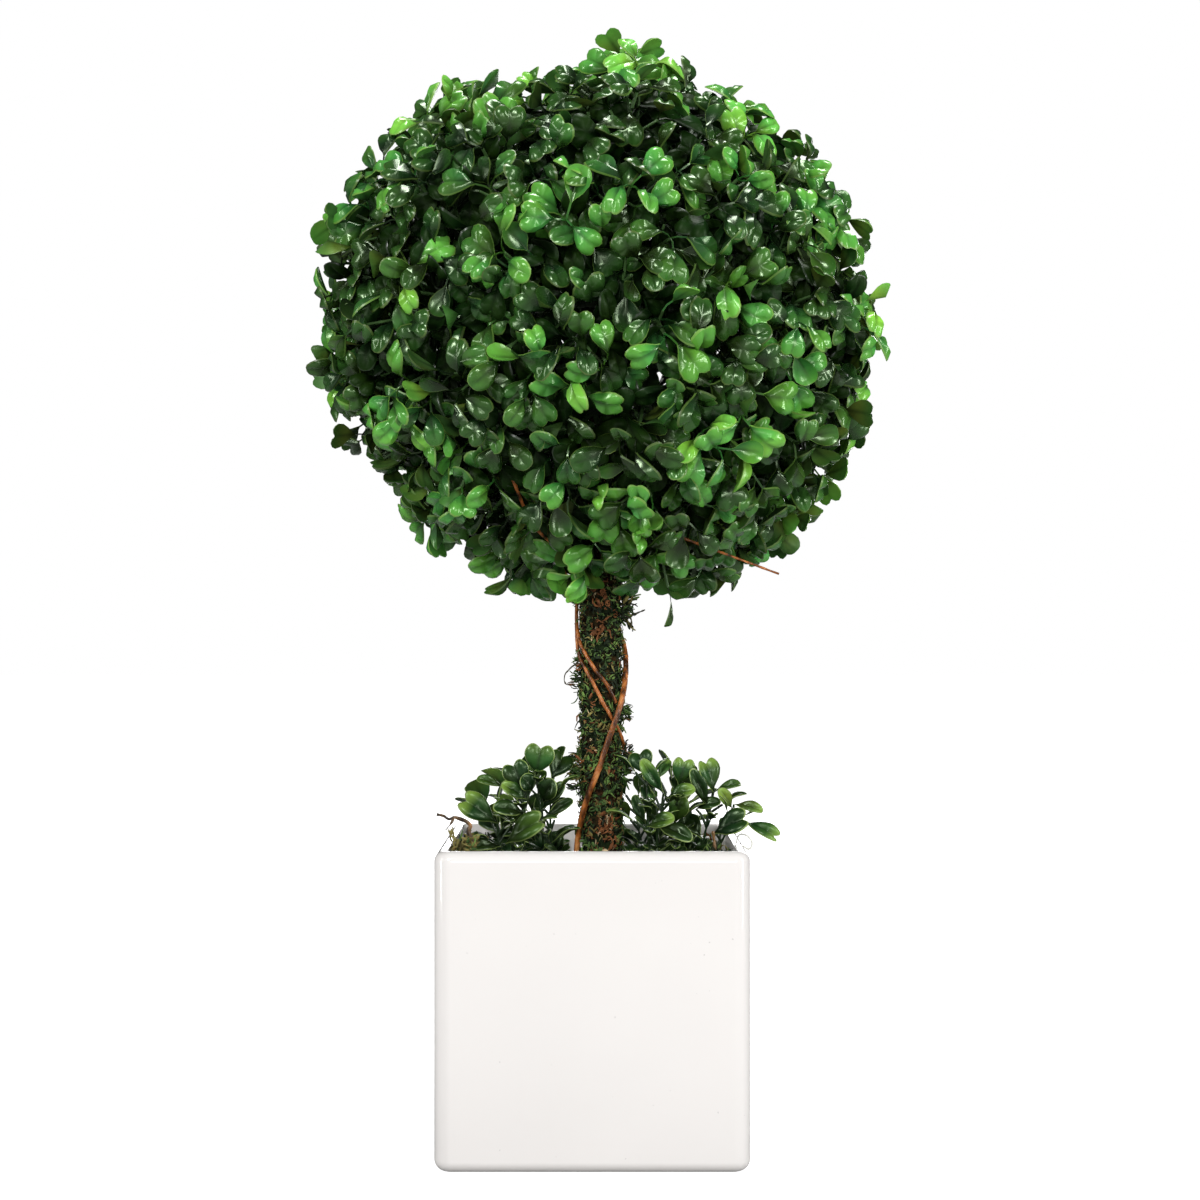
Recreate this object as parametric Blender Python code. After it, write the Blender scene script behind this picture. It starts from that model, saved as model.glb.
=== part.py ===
"""Artificial boxwood ball on a mossy stem, in a square glazed pot.

Metres, +Z up, front towards -Y. The origin is the centre of the pot's flat underside.
The pot stands on the ground plane, the filling sits in the pot, the moss covers the filling,
and the stem rises from a socket in the filling into a socket in the core of the leaf ball.
Three vines wind round the stem and six sprigs stand in the moss round its foot.
"""

import math
import random

import bmesh
import bpy
from mathutils import Matrix, Vector
from mathutils.bvhtree import BVHTree

SEAT_GAP = 0.0003

# Pot
POT_WIDTH = 0.121
POT_HEIGHT = 0.1225
POT_WALL = 0.005
POT_FLOOR = 0.007
POT_CORNER_RADIUS = 0.0068
POT_FOOT_RADIUS = 0.0058
POT_RIM_RADIUS = 0.0023
POT_INSIDE_FLOOR_RADIUS = 0.003

# Filling and moss
FILL_TOP = 0.1000
SOCKET_DEPTH = 0.020
MOSS_LOW = 0.1045
MOSS_RELIEF = 0.006
MOSS_CELLS = 16
# Distance from a foot within which the moss lies flat, and over which its lumps then rise.
MOSS_FLAT = 0.0098
MOSS_FADE = 0.0045
MOSS_CORNER_SHARE = 0.97
# Tufts of strands near two corners: foot, height and how far they bend inwards.
TUFTS = (
    (Vector((-0.0470, -0.036, 0.104)), 0.0200, 0.003),
    (Vector((0.0460, -0.034, 0.104)), 0.0150, -0.003),
)
TUFT_STRANDS = 6
TUFT_SPREAD = Vector((0.003, 0.006, 0.0))
TUFT_LEAN = Vector((0.002, 0.003, 0.0))
STRAND_RADIUS = 0.0012
STRAND_OVER_RIM = (
    Vector((-0.0475, -0.036, 0.1040)),
    Vector((-0.0490, -0.036, 0.1220)),
    Vector((-0.0520, -0.036, 0.1285)),
    Vector((-0.0620, -0.037, 0.1330)),
)

# Stem wrapped in moss
STEM_X = 0.0035
STEM_TOP_X = 0.0030
STEM_RADIUS = 0.0088
STEM_TOP_RADIUS = 0.0086
STEM_DENT = 0.0007
STEM_SIDES = 12
STEM_RINGS = 22
STEM_TOP = 0.3450

# Leaf ball
BALL_CENTRE = Vector((0.0030, 0.0, 0.3288))
BALL_RADIUS = 0.1130
# Reach of the leaf tips in the front view, every ten degrees from +X over the top.
OUTLINE_REACH = (
    *(0.119, 0.111, 0.112, 0.117, 0.111, 0.114, 0.108, 0.105, 0.118),
    *(0.110, 0.107, 0.106, 0.110, 0.120, 0.119, 0.119, 0.119, 0.117),
    *(0.119, 0.116, 0.112, 0.108, 0.110, 0.113, 0.110, 0.114, 0.112),
    *(0.111, 0.112, 0.115, 0.117, 0.120, 0.112, 0.116, 0.117, 0.110),
)
# The core follows the leaf tips at this depth, and the twigs start this far inside it.
CORE_DEPTH = 0.0175
CORE_DENT = 0.0030
BALL_TWIGS = 76
BALL_TWIG_SINK = 0.012
BALL_TWIG_RADIUS = 0.0014
# Leaves of a twig: angle from the twig in degrees, their number, and how far below the tip they stand.
BALL_TWIG_LEAVES = (
    (76, 2, 0.0035),
    (50, 2, 0.0),
)
BALL_LEAF_LENGTH = 0.024
BALL_LEAF_WIDTH = 0.0185
# Twigs that stand out of the clipped outline: direction from the ball's centre and reach of the tip.
STRAY_TWIGS = (
    (Vector((0.10, -0.10, 1.00)), 0.1212),
    (Vector((0.20, 0.05, 0.98)), 0.1205),
    (Vector((1.00, -0.10, 0.04)), 0.1190),
    (Vector((-0.90, 0.05, 0.43)), 0.1230),
    (Vector((-0.80, -0.08, 0.58)), 0.1215),
    (Vector((-1.00, -0.12, 0.06)), 0.1190),
    (Vector((-0.98, 0.10, -0.17)), 0.1175),
    (Vector((0.70, -0.10, -0.71)), 0.1205),
    (Vector((0.05, 1.00, 0.10)), 0.1180),
    (Vector((-0.10, -1.00, -0.15)), 0.1170),
)
# A bare end of vine that stands out under the ball on the right.
BARE_TWIG_FROM = Vector((0.0100, -0.042, 0.2520))
BARE_TWIG_TO = Vector((0.0719, -0.050, 0.2285))
BARE_TWIG_RADIUS = 0.0008

# Clearances from the stem for the ball's leaves and for its twigs' tips and roots.
BALL_LEAF_CLEARANCE = 0.005
BALL_TIP_CLEARANCE = 0.006
BALL_ROOT_CLEARANCE = 0.003

# Leaves
LEAF_THICKNESS = 0.0014
LEAF_CROWN = 0.14
LEAF_MIDDLE = 0.62
# The leaf's rim, anticlockwise from its foot, as shares of its width and length.
LEAF_RIM = ((0.0, 0.0), (0.5, 0.62), (0.24, 1.0), (-0.24, 1.0), (-0.5, 0.62))
LEAF_SINK = 0.0008
# Distance along a twig between the feet of one rosette's leaves.
LEAF_STEP = 0.0014
END_LEAF_SINK = 0.0020
# Tries for a place where a leaf crosses no other one.
LEAF_TRIES = 6

# Vines: radius, and the route as angle round the stem in degrees (-90 is the front) against height.
VINE_STOUT_RADIUS = 0.00115
VINE_THIN_RADIUS = 0.00075
VINE_RESOLUTION = 1
VINE_POINTS = 28
VINE_STOUT_ROUTE = (
    (-178, 0.1160),
    (-165, 0.1240),
    (-127, 0.1385),
    (-95, 0.1507),
    (-70, 0.1642),
    (-45, 0.1766),
    (-20, 0.1855),
    (4, 0.1935),
    (30, 0.2020),
    (70, 0.2105),
    (105, 0.2200),
    (130, 0.2290),
)
VINE_LOWER_ROUTE = (
    (-180, 0.2085),
    (-168, 0.2010),
    (-150, 0.1955),
    (-128, 0.1905),
    (-106, 0.1844),
    (-85, 0.1773),
    (-67, 0.1722),
    (-46, 0.1668),
    (-22, 0.1610),
    (8, 0.1560),
    (50, 0.1525),
)
VINE_UPPER_ROUTE = (
    (-200, 0.2262),
    (-188, 0.2175),
    (-174, 0.2095),
    (-152, 0.2022),
    (-127, 0.1964),
    (-101, 0.1900),
    (-76, 0.1846),
    (-52, 0.1772),
)
VINE_CROSSING = 0.1735
VINE_CROSSING_LENGTH = 0.0100

# Sprigs round the foot of the stem: name, foot, lean of the stem, height, number of leaf pairs.
SPRIG_LEAF_LENGTH = 0.0185
SPRIG_LEAF_WIDTH = 0.0135
SPRIG_STEM_RADIUS = 0.0013
SPRIG_UPRIGHT_FOOT = 0.003
# The stem reaches this share of the sprig's height, and its first pair stands at this share of the stem.
SPRIG_STEM_SHARE = 0.62
SPRIG_FIRST_PAIR = 0.26
# Angle of a pair from the stem in degrees: at the foot, and how much it closes towards the tip.
SPRIG_OPEN = 66
SPRIG_CLOSE = 34
PETIOLE_RADIUS = 0.0010
SPRIG_CLEARANCE = 0.0006
SPRIG_STEM_CLEARANCE = 0.0035
SPRIGS = (
    ("sprig_left_outer", Vector((-0.0370, 0.000)), Vector((-0.007, -0.005)), 0.040, 8),
    ("sprig_left_inner", Vector((-0.0185, 0.006)), Vector((-0.009, -0.004)), 0.050, 9),
    ("sprig_right_inner", Vector((0.0240, -0.004)), Vector((0.002, -0.003)), 0.046, 8),
    ("sprig_right_outer", Vector((0.0415, 0.004)), Vector((0.012, -0.004)), 0.042, 8),
    ("sprig_back_left", Vector((-0.0240, 0.038)), Vector((-0.006, 0.008)), 0.042, 6),
    ("sprig_back_right", Vector((0.0300, 0.038)), Vector((0.006, 0.008)), 0.042, 6),
)

# Colours from the photograph: base colour, roughness.
GLAZE = ((0.90, 0.88, 0.86), 0.12)
FOAM = ((0.10, 0.14, 0.07), 0.90)
MOSS = ((0.035, 0.055, 0.020), 0.95)
VINE_BARK = ((0.26, 0.08, 0.035), 0.60)
BOXWOOD = ((0.018, 0.085, 0.018), 0.30)
SPRIG_GREEN = ((0.030, 0.110, 0.022), 0.32)


def clear_scene():
    for old in list(bpy.data.objects):
        bpy.data.objects.remove(old)


def finish_of(name, look):
    """One Principled material of plain base colour and roughness."""
    colour, roughness = look
    material = bpy.data.materials.get(name) or bpy.data.materials.new(name)
    material.use_nodes = True
    shader = material.node_tree.nodes["Principled BSDF"]
    shader.inputs["Base Color"].default_value = (*colour, 1.0)
    shader.inputs["Roughness"].default_value = roughness
    return material


def object_from(bm, name, collection=None):
    """A new object that holds the bmesh, linked to a collection."""
    mesh = bpy.data.meshes.new(name)
    bm.to_mesh(mesh)
    bm.free()
    made = bpy.data.objects.new(name, mesh)
    (collection or bpy.context.scene.collection).objects.link(made)
    return made


def dress(made, finish, smooth_angle=None):
    made.data.materials.clear()
    made.data.materials.append(finish)
    if smooth_angle is not None:
        made.data.shade_smooth()
        made.data.set_sharp_from_angle(angle=math.radians(smooth_angle))
    return made


def bake_modifiers(made):
    """Replaces the object's mesh by the evaluated one and drops its modifiers."""
    graph = bpy.context.evaluated_depsgraph_get()
    graph.update()
    baked = bpy.data.meshes.new_from_object(made.evaluated_get(graph))
    made.modifiers.clear()
    made.data = baked


def keep_outer_shell(made):
    """Keeps the largest body: loose scraps, sealed hollows and bits held by a single point are dropped."""
    bm = bmesh.new()
    bm.from_mesh(made.data)
    left, shells = set(bm.faces), []
    while left:
        front = [left.pop()]
        shell = set(front)
        while front:
            for edge in front.pop().edges:
                for other in edge.link_faces:
                    if other in left:
                        left.remove(other)
                        shell.add(other)
                        front.append(other)
        shells.append(shell)
    largest = max(shells, key=len)
    scraps = [face for shell in shells if shell is not largest for face in shell]
    bmesh.ops.delete(bm, geom=scraps, context="FACES")
    bm.to_mesh(made.data)
    bm.free()


def fuse(made, collection):
    """Joins a collection's solids to one object by a single Boolean union."""
    union = made.modifiers.new("fuse", "BOOLEAN")
    union.operation = "UNION"
    union.operand_type = "COLLECTION"
    union.collection = collection
    union.solver = "MANIFOLD"
    bake_modifiers(made)
    for part in list(collection.objects):
        bpy.data.objects.remove(part)
    bpy.data.collections.remove(collection)
    keep_outer_shell(made)


def cut(made, cutter):
    """Cuts one solid out of another and removes the cutter."""
    difference = made.modifiers.new("cut", "BOOLEAN")
    difference.operation = "DIFFERENCE"
    difference.object = cutter
    bake_modifiers(made)
    bpy.data.objects.remove(cutter)


def gathering(name):
    """A collection that holds the solids of one mass until they are joined."""
    made = bpy.data.collections.new(name)
    bpy.context.scene.collection.children.link(made)
    return made


def rounded_block(width, low, high, corner, segments):
    """A square block with rounded upright edges."""
    bm = bmesh.new()
    bmesh.ops.create_cube(bm, size=1.0)
    bmesh.ops.scale(bm, vec=(width, width, high - low), verts=bm.verts)
    bmesh.ops.translate(bm, vec=(0, 0, (high + low) / 2), verts=bm.verts)
    upright = [e for e in bm.edges if abs(e.verts[0].co.z - e.verts[1].co.z) > 1e-6]
    bmesh.ops.bevel(bm, geom=upright, offset=corner, segments=segments, profile=0.5, affect="EDGES")
    return bm


def level_edges(bm, height):
    """The edges that lie flat at a height, where two faces meet at an angle."""
    flat = [e for e in bm.edges if all(abs(v.co.z - height) < 1e-6 for v in e.verts)]
    return [e for e in flat if e.calc_face_angle(0.0) > 0.1]


def make_pot():
    """A square hollow pot: upright edges, rim and foot are rounded, and the underside is flat."""
    bm = rounded_block(POT_WIDTH, 0.0, POT_HEIGHT, POT_CORNER_RADIUS, 5)
    top = max(bm.faces, key=lambda face: face.calc_center_median().z)
    bmesh.ops.inset_individual(bm, faces=[top], thickness=POT_WALL, use_even_offset=True)
    bottom = bmesh.ops.extrude_face_region(bm, geom=[top])["geom"]
    bmesh.ops.delete(bm, geom=[top], context="FACES_ONLY")
    sunk = [item for item in bottom if isinstance(item, bmesh.types.BMVert)]
    bmesh.ops.translate(bm, vec=(0, 0, POT_FLOOR - POT_HEIGHT), verts=sunk)
    for height, radius, segments in (
        (POT_HEIGHT, POT_RIM_RADIUS, 3),
        (0.0, POT_FOOT_RADIUS, 3),
        (POT_FLOOR, POT_INSIDE_FLOOR_RADIUS, 2),
    ):
        loops = level_edges(bm, height)
        bmesh.ops.bevel(bm, geom=loops, offset=radius, segments=segments, profile=0.5, affect="EDGES")
    bmesh.ops.recalc_face_normals(bm, faces=bm.faces)
    return dress(object_from(bm, "pot"), finish_of("glaze", GLAZE), 40)


def cylinder(radius, low, high, x, sides=24):
    """A closed upright cylinder."""
    bm = bmesh.new()
    bmesh.ops.create_cone(
        bm, cap_ends=True, segments=sides, radius1=radius, radius2=radius, depth=high - low
    )
    bmesh.ops.translate(bm, vec=(x, 0, (high + low) / 2), verts=bm.verts)
    return bm


def make_filling():
    """The foam block that fills the pot, with a socket for the stem."""
    width = POT_WIDTH - 2 * POT_WALL - 2 * SEAT_GAP
    corner = POT_CORNER_RADIUS - POT_WALL
    low = POT_FLOOR + SEAT_GAP
    bm = rounded_block(width, low, FILL_TOP, corner, 2)
    foot = level_edges(bm, low)
    bmesh.ops.bevel(
        bm, geom=foot, offset=POT_INSIDE_FLOOR_RADIUS, segments=1, profile=0.5, affect="EDGES"
    )
    filling = object_from(bm, "filling")
    socket = cylinder(STEM_RADIUS + SEAT_GAP, FILL_TOP - SOCKET_DEPTH, FILL_TOP + 0.01, STEM_X)
    cut(filling, object_from(socket, "socket"))
    return dress(filling, finish_of("foam", FOAM))


def sprig_foot(sprig):
    return Vector((sprig[1].x, sprig[1].y, MOSS_LOW + SEAT_GAP))


def moss_height(x, y, rng):
    """Height of the moss: lumps that fade out at the stem and at the sprigs' feet."""
    feet = [math.hypot(x - foot.x, y - foot.y) for _, foot, *_ in SPRIGS]
    flat = min(*feet, math.hypot(x - STEM_X, y) - STEM_RADIUS / 2) - MOSS_FLAT
    edge = max(abs(x), abs(y)) / (POT_WIDTH / 2 - POT_WALL)
    lump = rng.uniform(0.15, 1.0) * (0.55 + 0.6 * edge**3)
    return MOSS_LOW + MOSS_RELIEF * lump * min(1.0, max(0.0, flat / MOSS_FADE))


def tapered_strand(points, radius, collection, sides=3):
    """A strand of moss or a twig: a cone that follows its points, each bend a ring."""
    bm = bmesh.new()
    points = [Vector(p) for p in points]
    way = points[1] - points[0]
    turn = way.to_track_quat("Z", "Y").to_matrix().to_4x4()
    ring = bmesh.ops.create_circle(bm, cap_ends=True, segments=sides, radius=radius)["verts"]
    bmesh.ops.transform(bm, matrix=Matrix.Translation(points[0]) @ turn, verts=ring)
    edges = list(bm.edges)
    for index in range(1, len(points)):
        grown = bmesh.ops.extrude_edge_only(bm, edges=edges)["geom"]
        ring = [v for v in grown if isinstance(v, bmesh.types.BMVert)]
        edges = [e for e in grown if isinstance(e, bmesh.types.BMEdge)]
        bmesh.ops.translate(bm, vec=points[index] - points[index - 1], verts=ring)
        size = 0.82 if index < len(points) - 1 else 0.55
        middle = sum((v.co for v in ring), Vector()) / len(ring)
        bmesh.ops.scale(bm, vec=(size,) * 3, space=Matrix.Translation(-middle), verts=ring)
    bmesh.ops.contextual_create(bm, geom=edges)
    bmesh.ops.recalc_face_normals(bm, faces=bm.faces)
    return object_from(bm, "strand", collection)


def scattered(rng, spread):
    """A random offset inside a box of half sizes."""
    return Vector([rng.uniform(-size, size) for size in spread])


def make_moss(rng):
    """The moss on the filling, a lumpy sheet with tufts of strands in two corners."""
    half = POT_WIDTH / 2 - POT_WALL - SEAT_GAP
    bm = bmesh.new()
    bmesh.ops.create_grid(bm, x_segments=MOSS_CELLS, y_segments=MOSS_CELLS, size=half)
    for vert in bm.verts:
        vert.co.z = moss_height(vert.co.x, vert.co.y, rng)
    skirt = bmesh.ops.extrude_edge_only(bm, edges=[e for e in bm.edges if e.is_boundary])["geom"]
    for vert in (v for v in skirt if isinstance(v, bmesh.types.BMVert)):
        vert.co.z = FILL_TOP + SEAT_GAP
    bmesh.ops.contextual_create(bm, geom=[e for e in skirt if isinstance(e, bmesh.types.BMEdge)])
    bmesh.ops.recalc_face_normals(bm, faces=bm.faces)
    corners = [v for v in bm.verts if abs(v.co.x) > half - 1e-6 and abs(v.co.y) > half - 1e-6]
    for vert in corners:
        vert.co.x *= MOSS_CORNER_SHARE
        vert.co.y *= MOSS_CORNER_SHARE
    moss = object_from(bm, "moss_bed")
    strands = gathering("moss strands")
    for corner, tall, inwards in TUFTS:
        for _ in range(TUFT_STRANDS):
            foot = corner + scattered(rng, TUFT_SPREAD)
            rise = scattered(rng, TUFT_LEAN) + Vector((0, 0, rng.uniform(0.6, 1.0) * tall))
            bend = scattered(rng, TUFT_LEAN) + Vector((inwards, 0, rng.uniform(0.1, 0.3) * tall))
            tapered_strand((foot, foot + rise, foot + rise + bend), STRAND_RADIUS, strands)
    tapered_strand(STRAND_OVER_RIM, STRAND_RADIUS, strands, 4)
    fuse(moss, strands)
    hole = cylinder(STEM_RADIUS + SEAT_GAP, FILL_TOP - 0.01, MOSS_LOW + 0.02, STEM_X)
    cut(moss, object_from(hole, "hole"))
    return dress(moss, finish_of("moss", MOSS))


def stem_axis(height):
    """Centre of the stem at a height: it leans a little."""
    share = (height - FILL_TOP) / (STEM_TOP - FILL_TOP)
    return Vector((STEM_X + (STEM_TOP_X - STEM_X) * share, 0.0, height))


def stem_radius(height):
    """Radius over the lumps of moss at a height."""
    share = (height - FILL_TOP) / (STEM_TOP - FILL_TOP)
    return STEM_RADIUS + (STEM_TOP_RADIUS - STEM_RADIUS) * share


def make_stem(rng):
    """The moss-wrapped stem, from its flat foot in the filling to its tip in the ball's core."""
    low = FILL_TOP - SOCKET_DEPTH + SEAT_GAP
    step = (STEM_TOP - low) / STEM_RINGS
    bm = bmesh.new()
    ring = bmesh.ops.create_circle(bm, cap_ends=True, segments=STEM_SIDES, radius=1.0)["verts"]
    edges = list(bm.edges)
    rings = [ring]
    for _ in range(STEM_RINGS):
        grown = bmesh.ops.extrude_edge_only(bm, edges=edges)["geom"]
        edges = [e for e in grown if isinstance(e, bmesh.types.BMEdge)]
        rings.append([v for v in grown if isinstance(v, bmesh.types.BMVert)])
    bmesh.ops.contextual_create(bm, geom=edges)
    for index, ring in enumerate(rings):
        height = low + index * step
        centre = stem_axis(height)
        ends = index in (0, STEM_RINGS)
        for vert in ring:
            around = Vector((vert.co.x, vert.co.y, 0)).normalized()
            dent = 0.0 if ends else rng.uniform(0.0, STEM_DENT)
            vert.co = centre + around * (stem_radius(height) - dent - SEAT_GAP / 3)
    bmesh.ops.recalc_face_normals(bm, faces=bm.faces)
    return dress(object_from(bm, "stem"), finish_of("moss", MOSS), 60)


def smooth_route(route, count):
    """Points along a route of (angle, height) pairs, evenly dealt and eased between them."""
    found = []
    last = len(route) - 1
    for index in range(count):
        place = last * index / (count - 1)
        k = min(int(place), last - 1)
        t = place - k
        p0, p1, p2, p3 = (route[min(max(k + j, 0), last)] for j in (-1, 0, 1, 2))
        found.append(
            [
                0.5
                * (
                    2 * b
                    + (c - a) * t
                    + (2 * a - 5 * b + 4 * c - d) * t * t
                    + (3 * b - a - 3 * c + d) * t**3
                )
                for a, b, c, d in zip(p0, p1, p2, p3, strict=True)
            ]
        )
    return found


def make_vine(name, route, radius, lifted=0.0):
    """A bare vine that lies on the stem. It is lifted over the thin vines where it crosses them."""
    curve = bpy.data.curves.new(name, "CURVE")
    curve.dimensions = "3D"
    curve.bevel_depth = radius
    curve.bevel_resolution = VINE_RESOLUTION
    curve.use_fill_caps = True
    spline = curve.splines.new("POLY")
    points = smooth_route(route, VINE_POINTS)
    spline.points.add(len(points) - 1)
    for slot, (angle, height) in zip(spline.points, points, strict=True):
        crossing = math.exp(-(((height - VINE_CROSSING) / VINE_CROSSING_LENGTH) ** 2))
        out = stem_radius(height) + SEAT_GAP + radius + lifted * crossing
        turn = math.radians(angle)
        place = stem_axis(height) + Vector((math.cos(turn), math.sin(turn), 0)) * out
        slot.co = (*place, 1.0)
        slot.radius = 1.0
    made = bpy.data.objects.new(name, curve)
    bpy.context.scene.collection.objects.link(made)
    curve.materials.append(finish_of("vine bark", VINE_BARK))
    return made


def leaf_blank(name, length, width):
    """A leaf solid of ten faces: pointed foot at the origin, blunt tip towards +Y, raised middle."""
    bm = bmesh.new()
    bmesh.ops.create_uvsphere(bm, u_segments=5, v_segments=2, radius=1.0)
    rim = sorted((v for v in bm.verts if abs(v.co.z) < 0.5), key=lambda v: math.atan2(v.co.y, v.co.x))
    for vert in bm.verts:
        if vert not in rim:
            rise = length * LEAF_CROWN + math.copysign(LEAF_THICKNESS / 2, vert.co.z)
            vert.co = (0.0, LEAF_MIDDLE * length, rise)
    for vert, (across, along) in zip(rim, LEAF_RIM, strict=True):
        vert.co = (across * width, along * length, 0.0)
    mesh = bpy.data.meshes.new(name)
    bm.to_mesh(mesh)
    bm.free()
    return mesh


def leaf_matrix(foot, direction, upper, scale):
    """Puts a leaf's foot at a point, its tip along a direction and its upper side towards a normal."""
    along = direction.normalized()
    across = along.cross(upper).normalized()
    normal = across.cross(along)
    turn = Matrix((across, along, normal)).transposed().to_4x4()
    return Matrix.Translation(foot - along * LEAF_SINK) @ turn @ Matrix.Scale(scale, 4)


def add_leaf(blank, matrix, collection):
    made = bpy.data.objects.new("leaf", blank.copy())
    made.data.transform(matrix)
    collection.objects.link(made)
    return made


def leaf_points(matrix, length, width):
    """Points that stand for a leaf's reach: foot, middle, both shoulders and the tip."""
    rise = length * LEAF_CROWN
    places = ((0, 0, 0), (0, 0.6, 1), (-0.5, 0.56, 0), (0.5, 0.56, 0), (-0.3, 1, 0), (0.3, 1, 0))
    return [matrix @ Vector((x * width, y * length, z * rise)) for x, y, z in places]


def near_stem(point, clear):
    """True for a point closer to the stem's surface than the clearance."""
    centre = stem_axis(min(point.z, STEM_TOP))
    return (point - centre).length < stem_radius(point.z) + clear


def even_directions(count, rng):
    """Directions spread evenly over a sphere by the golden angle, each a little out of place."""
    golden = math.pi * (3 - math.sqrt(5))
    for index in range(count):
        height = 1 - (2 * index + 1) / count
        ring = math.sqrt(1 - height * height)
        turn = golden * index
        stray = Vector([rng.uniform(-0.08, 0.08) for _ in range(3)])
        yield (Vector((ring * math.cos(turn), ring * math.sin(turn), height)) + stray).normalized()


def side_ways(axis, turn):
    """A direction square to an axis, turned round it."""
    start = axis.orthogonal().normalized()
    return Matrix.Rotation(turn, 3, axis) @ start


def reach_towards(direction):
    """Reach of the leaf tips in a direction: round towards the front and back, uneven round the sides."""
    stations = len(OUTLINE_REACH)
    clock = math.atan2(direction.z, direction.x) / math.tau * stations
    before = math.floor(clock)
    first, second = (OUTLINE_REACH[(before + step) % stations] for step in (0, 1))
    side = first + (second - first) * (clock - before)
    sideways = min(1.0, max(0.0, (math.hypot(direction.x, direction.z) - 0.55) / 0.35))
    return BALL_RADIUS + (side - BALL_RADIUS) * sideways


def leaf_tree(blank, matrix):
    corners = [matrix @ vert.co for vert in blank.vertices]
    return BVHTree.FromPolygons(corners, [tuple(face.vertices) for face in blank.polygons])


def ball_leaf(node, axis, turn, angle, reach, mass, rng):
    """Adds one leaf of the ball where it stays in the outline, clear of the stem and of other leaves."""
    for _ in range(LEAF_TRIES):
        side = side_ways(axis, turn + rng.uniform(-0.3, 0.3))
        open_by = math.radians(angle + rng.uniform(-8, 12))
        way = axis * math.cos(open_by) + side * math.sin(open_by)
        upper = (axis + scattered(rng, (0.35, 0.35, 0.35))).normalized()
        matrix = leaf_matrix(node, way, upper, rng.uniform(0.84, 1.08))
        points = leaf_points(matrix, BALL_LEAF_LENGTH, BALL_LEAF_WIDTH)
        if any((point - BALL_CENTRE).length > reach + 0.001 for point in points):
            continue
        if any(near_stem(point, BALL_LEAF_CLEARANCE) for point in points):
            continue
        tree = leaf_tree(mass["blank"], matrix)
        near = [other for middle, other in mass["placed"] if (middle - points[1]).length < 0.03]
        if any(tree.overlap(other) for other in near):
            continue
        mass["placed"].append((points[1], tree))
        add_leaf(mass["blank"], matrix, mass["collection"])
        return


def grow_ball_twig(direction, reach, mass, rng, end_leaf=False):
    """One twig of the ball: a stem from inside the core, with a pair of leaves and a rosette at its end."""
    axis = (direction + scattered(rng, (0.10, 0.10, 0.10))).normalized()
    end_angle = math.radians(0 if end_leaf else BALL_TWIG_LEAVES[-1][0])
    tip = BALL_CENTRE + direction * (reach - BALL_LEAF_LENGTH * math.cos(end_angle) + LEAF_SINK)
    root = BALL_CENTRE + direction * (reach_towards(direction) - CORE_DEPTH - BALL_TWIG_SINK)
    if near_stem(tip, BALL_TIP_CLEARANCE) or near_stem(root, BALL_ROOT_CLEARANCE):
        return
    tapered_strand((root, root.lerp(tip, 0.6), tip), BALL_TWIG_RADIUS, mass["collection"])
    if end_leaf:
        node = tip - direction * END_LEAF_SINK
        ball_leaf(node, direction, rng.uniform(0, math.tau), 0.0, reach, mass, rng)
    turn = rng.uniform(0, math.tau)
    for angle, leaves, below in BALL_TWIG_LEAVES:
        for index in range(leaves):
            node = tip - axis * (below + LEAF_STEP * index)
            ball_leaf(node, axis, turn + math.tau * index / leaves, angle, reach, mass, rng)
        turn += math.radians(90)


def make_foliage_ball(rng):
    """The clipped ball: a round core cut clear of the stem, with twigs and leaves that stand out of it."""
    bm = bmesh.new()
    bmesh.ops.create_icosphere(bm, subdivisions=2, radius=1.0)
    for vert in bm.verts:
        direction = vert.co.normalized()
        dent = rng.uniform(0.0, CORE_DENT)
        vert.co = BALL_CENTRE + direction * (reach_towards(direction) - CORE_DEPTH - dent)
    ball = object_from(bm, "foliage_ball")
    leaves = gathering("ball leaves")
    blank = leaf_blank("ball leaf", BALL_LEAF_LENGTH, BALL_LEAF_WIDTH)
    mass = {"blank": blank, "collection": leaves, "placed": []}
    for direction, reach in STRAY_TWIGS:
        grow_ball_twig(direction.normalized(), reach, mass, rng, end_leaf=True)
    for direction in even_directions(BALL_TWIGS, rng):
        grow_ball_twig(direction, reach_towards(direction), mass, rng)
    middle = BARE_TWIG_FROM.lerp(BARE_TWIG_TO, 0.5)
    tapered_strand((BARE_TWIG_FROM, middle, BARE_TWIG_TO), BARE_TWIG_RADIUS, leaves, 4)
    fuse(ball, leaves)
    bottom = BALL_CENTRE.z - BALL_RADIUS - 0.02
    socket = cylinder(STEM_RADIUS + SEAT_GAP, bottom, STEM_TOP + SEAT_GAP, STEM_TOP_X, STEM_SIDES * 2)
    cut(ball, object_from(socket, "ball socket"))
    keep_outer_shell(ball)
    return dress(ball, finish_of("boxwood", BOXWOOD))


def sprig_line(sprig):
    """Foot and tip of a sprig's stem."""
    _, foot, lean, height, _ = sprig
    low = sprig_foot(sprig)
    return low, low + Vector((lean.x, lean.y, height * SPRIG_STEM_SHARE))


def distance_to_line(point, line):
    low, high = line
    way = high - low
    share = min(1.0, max(0.0, (point - low).dot(way) / way.length_squared))
    return (point - low.lerp(high, share)).length


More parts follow.
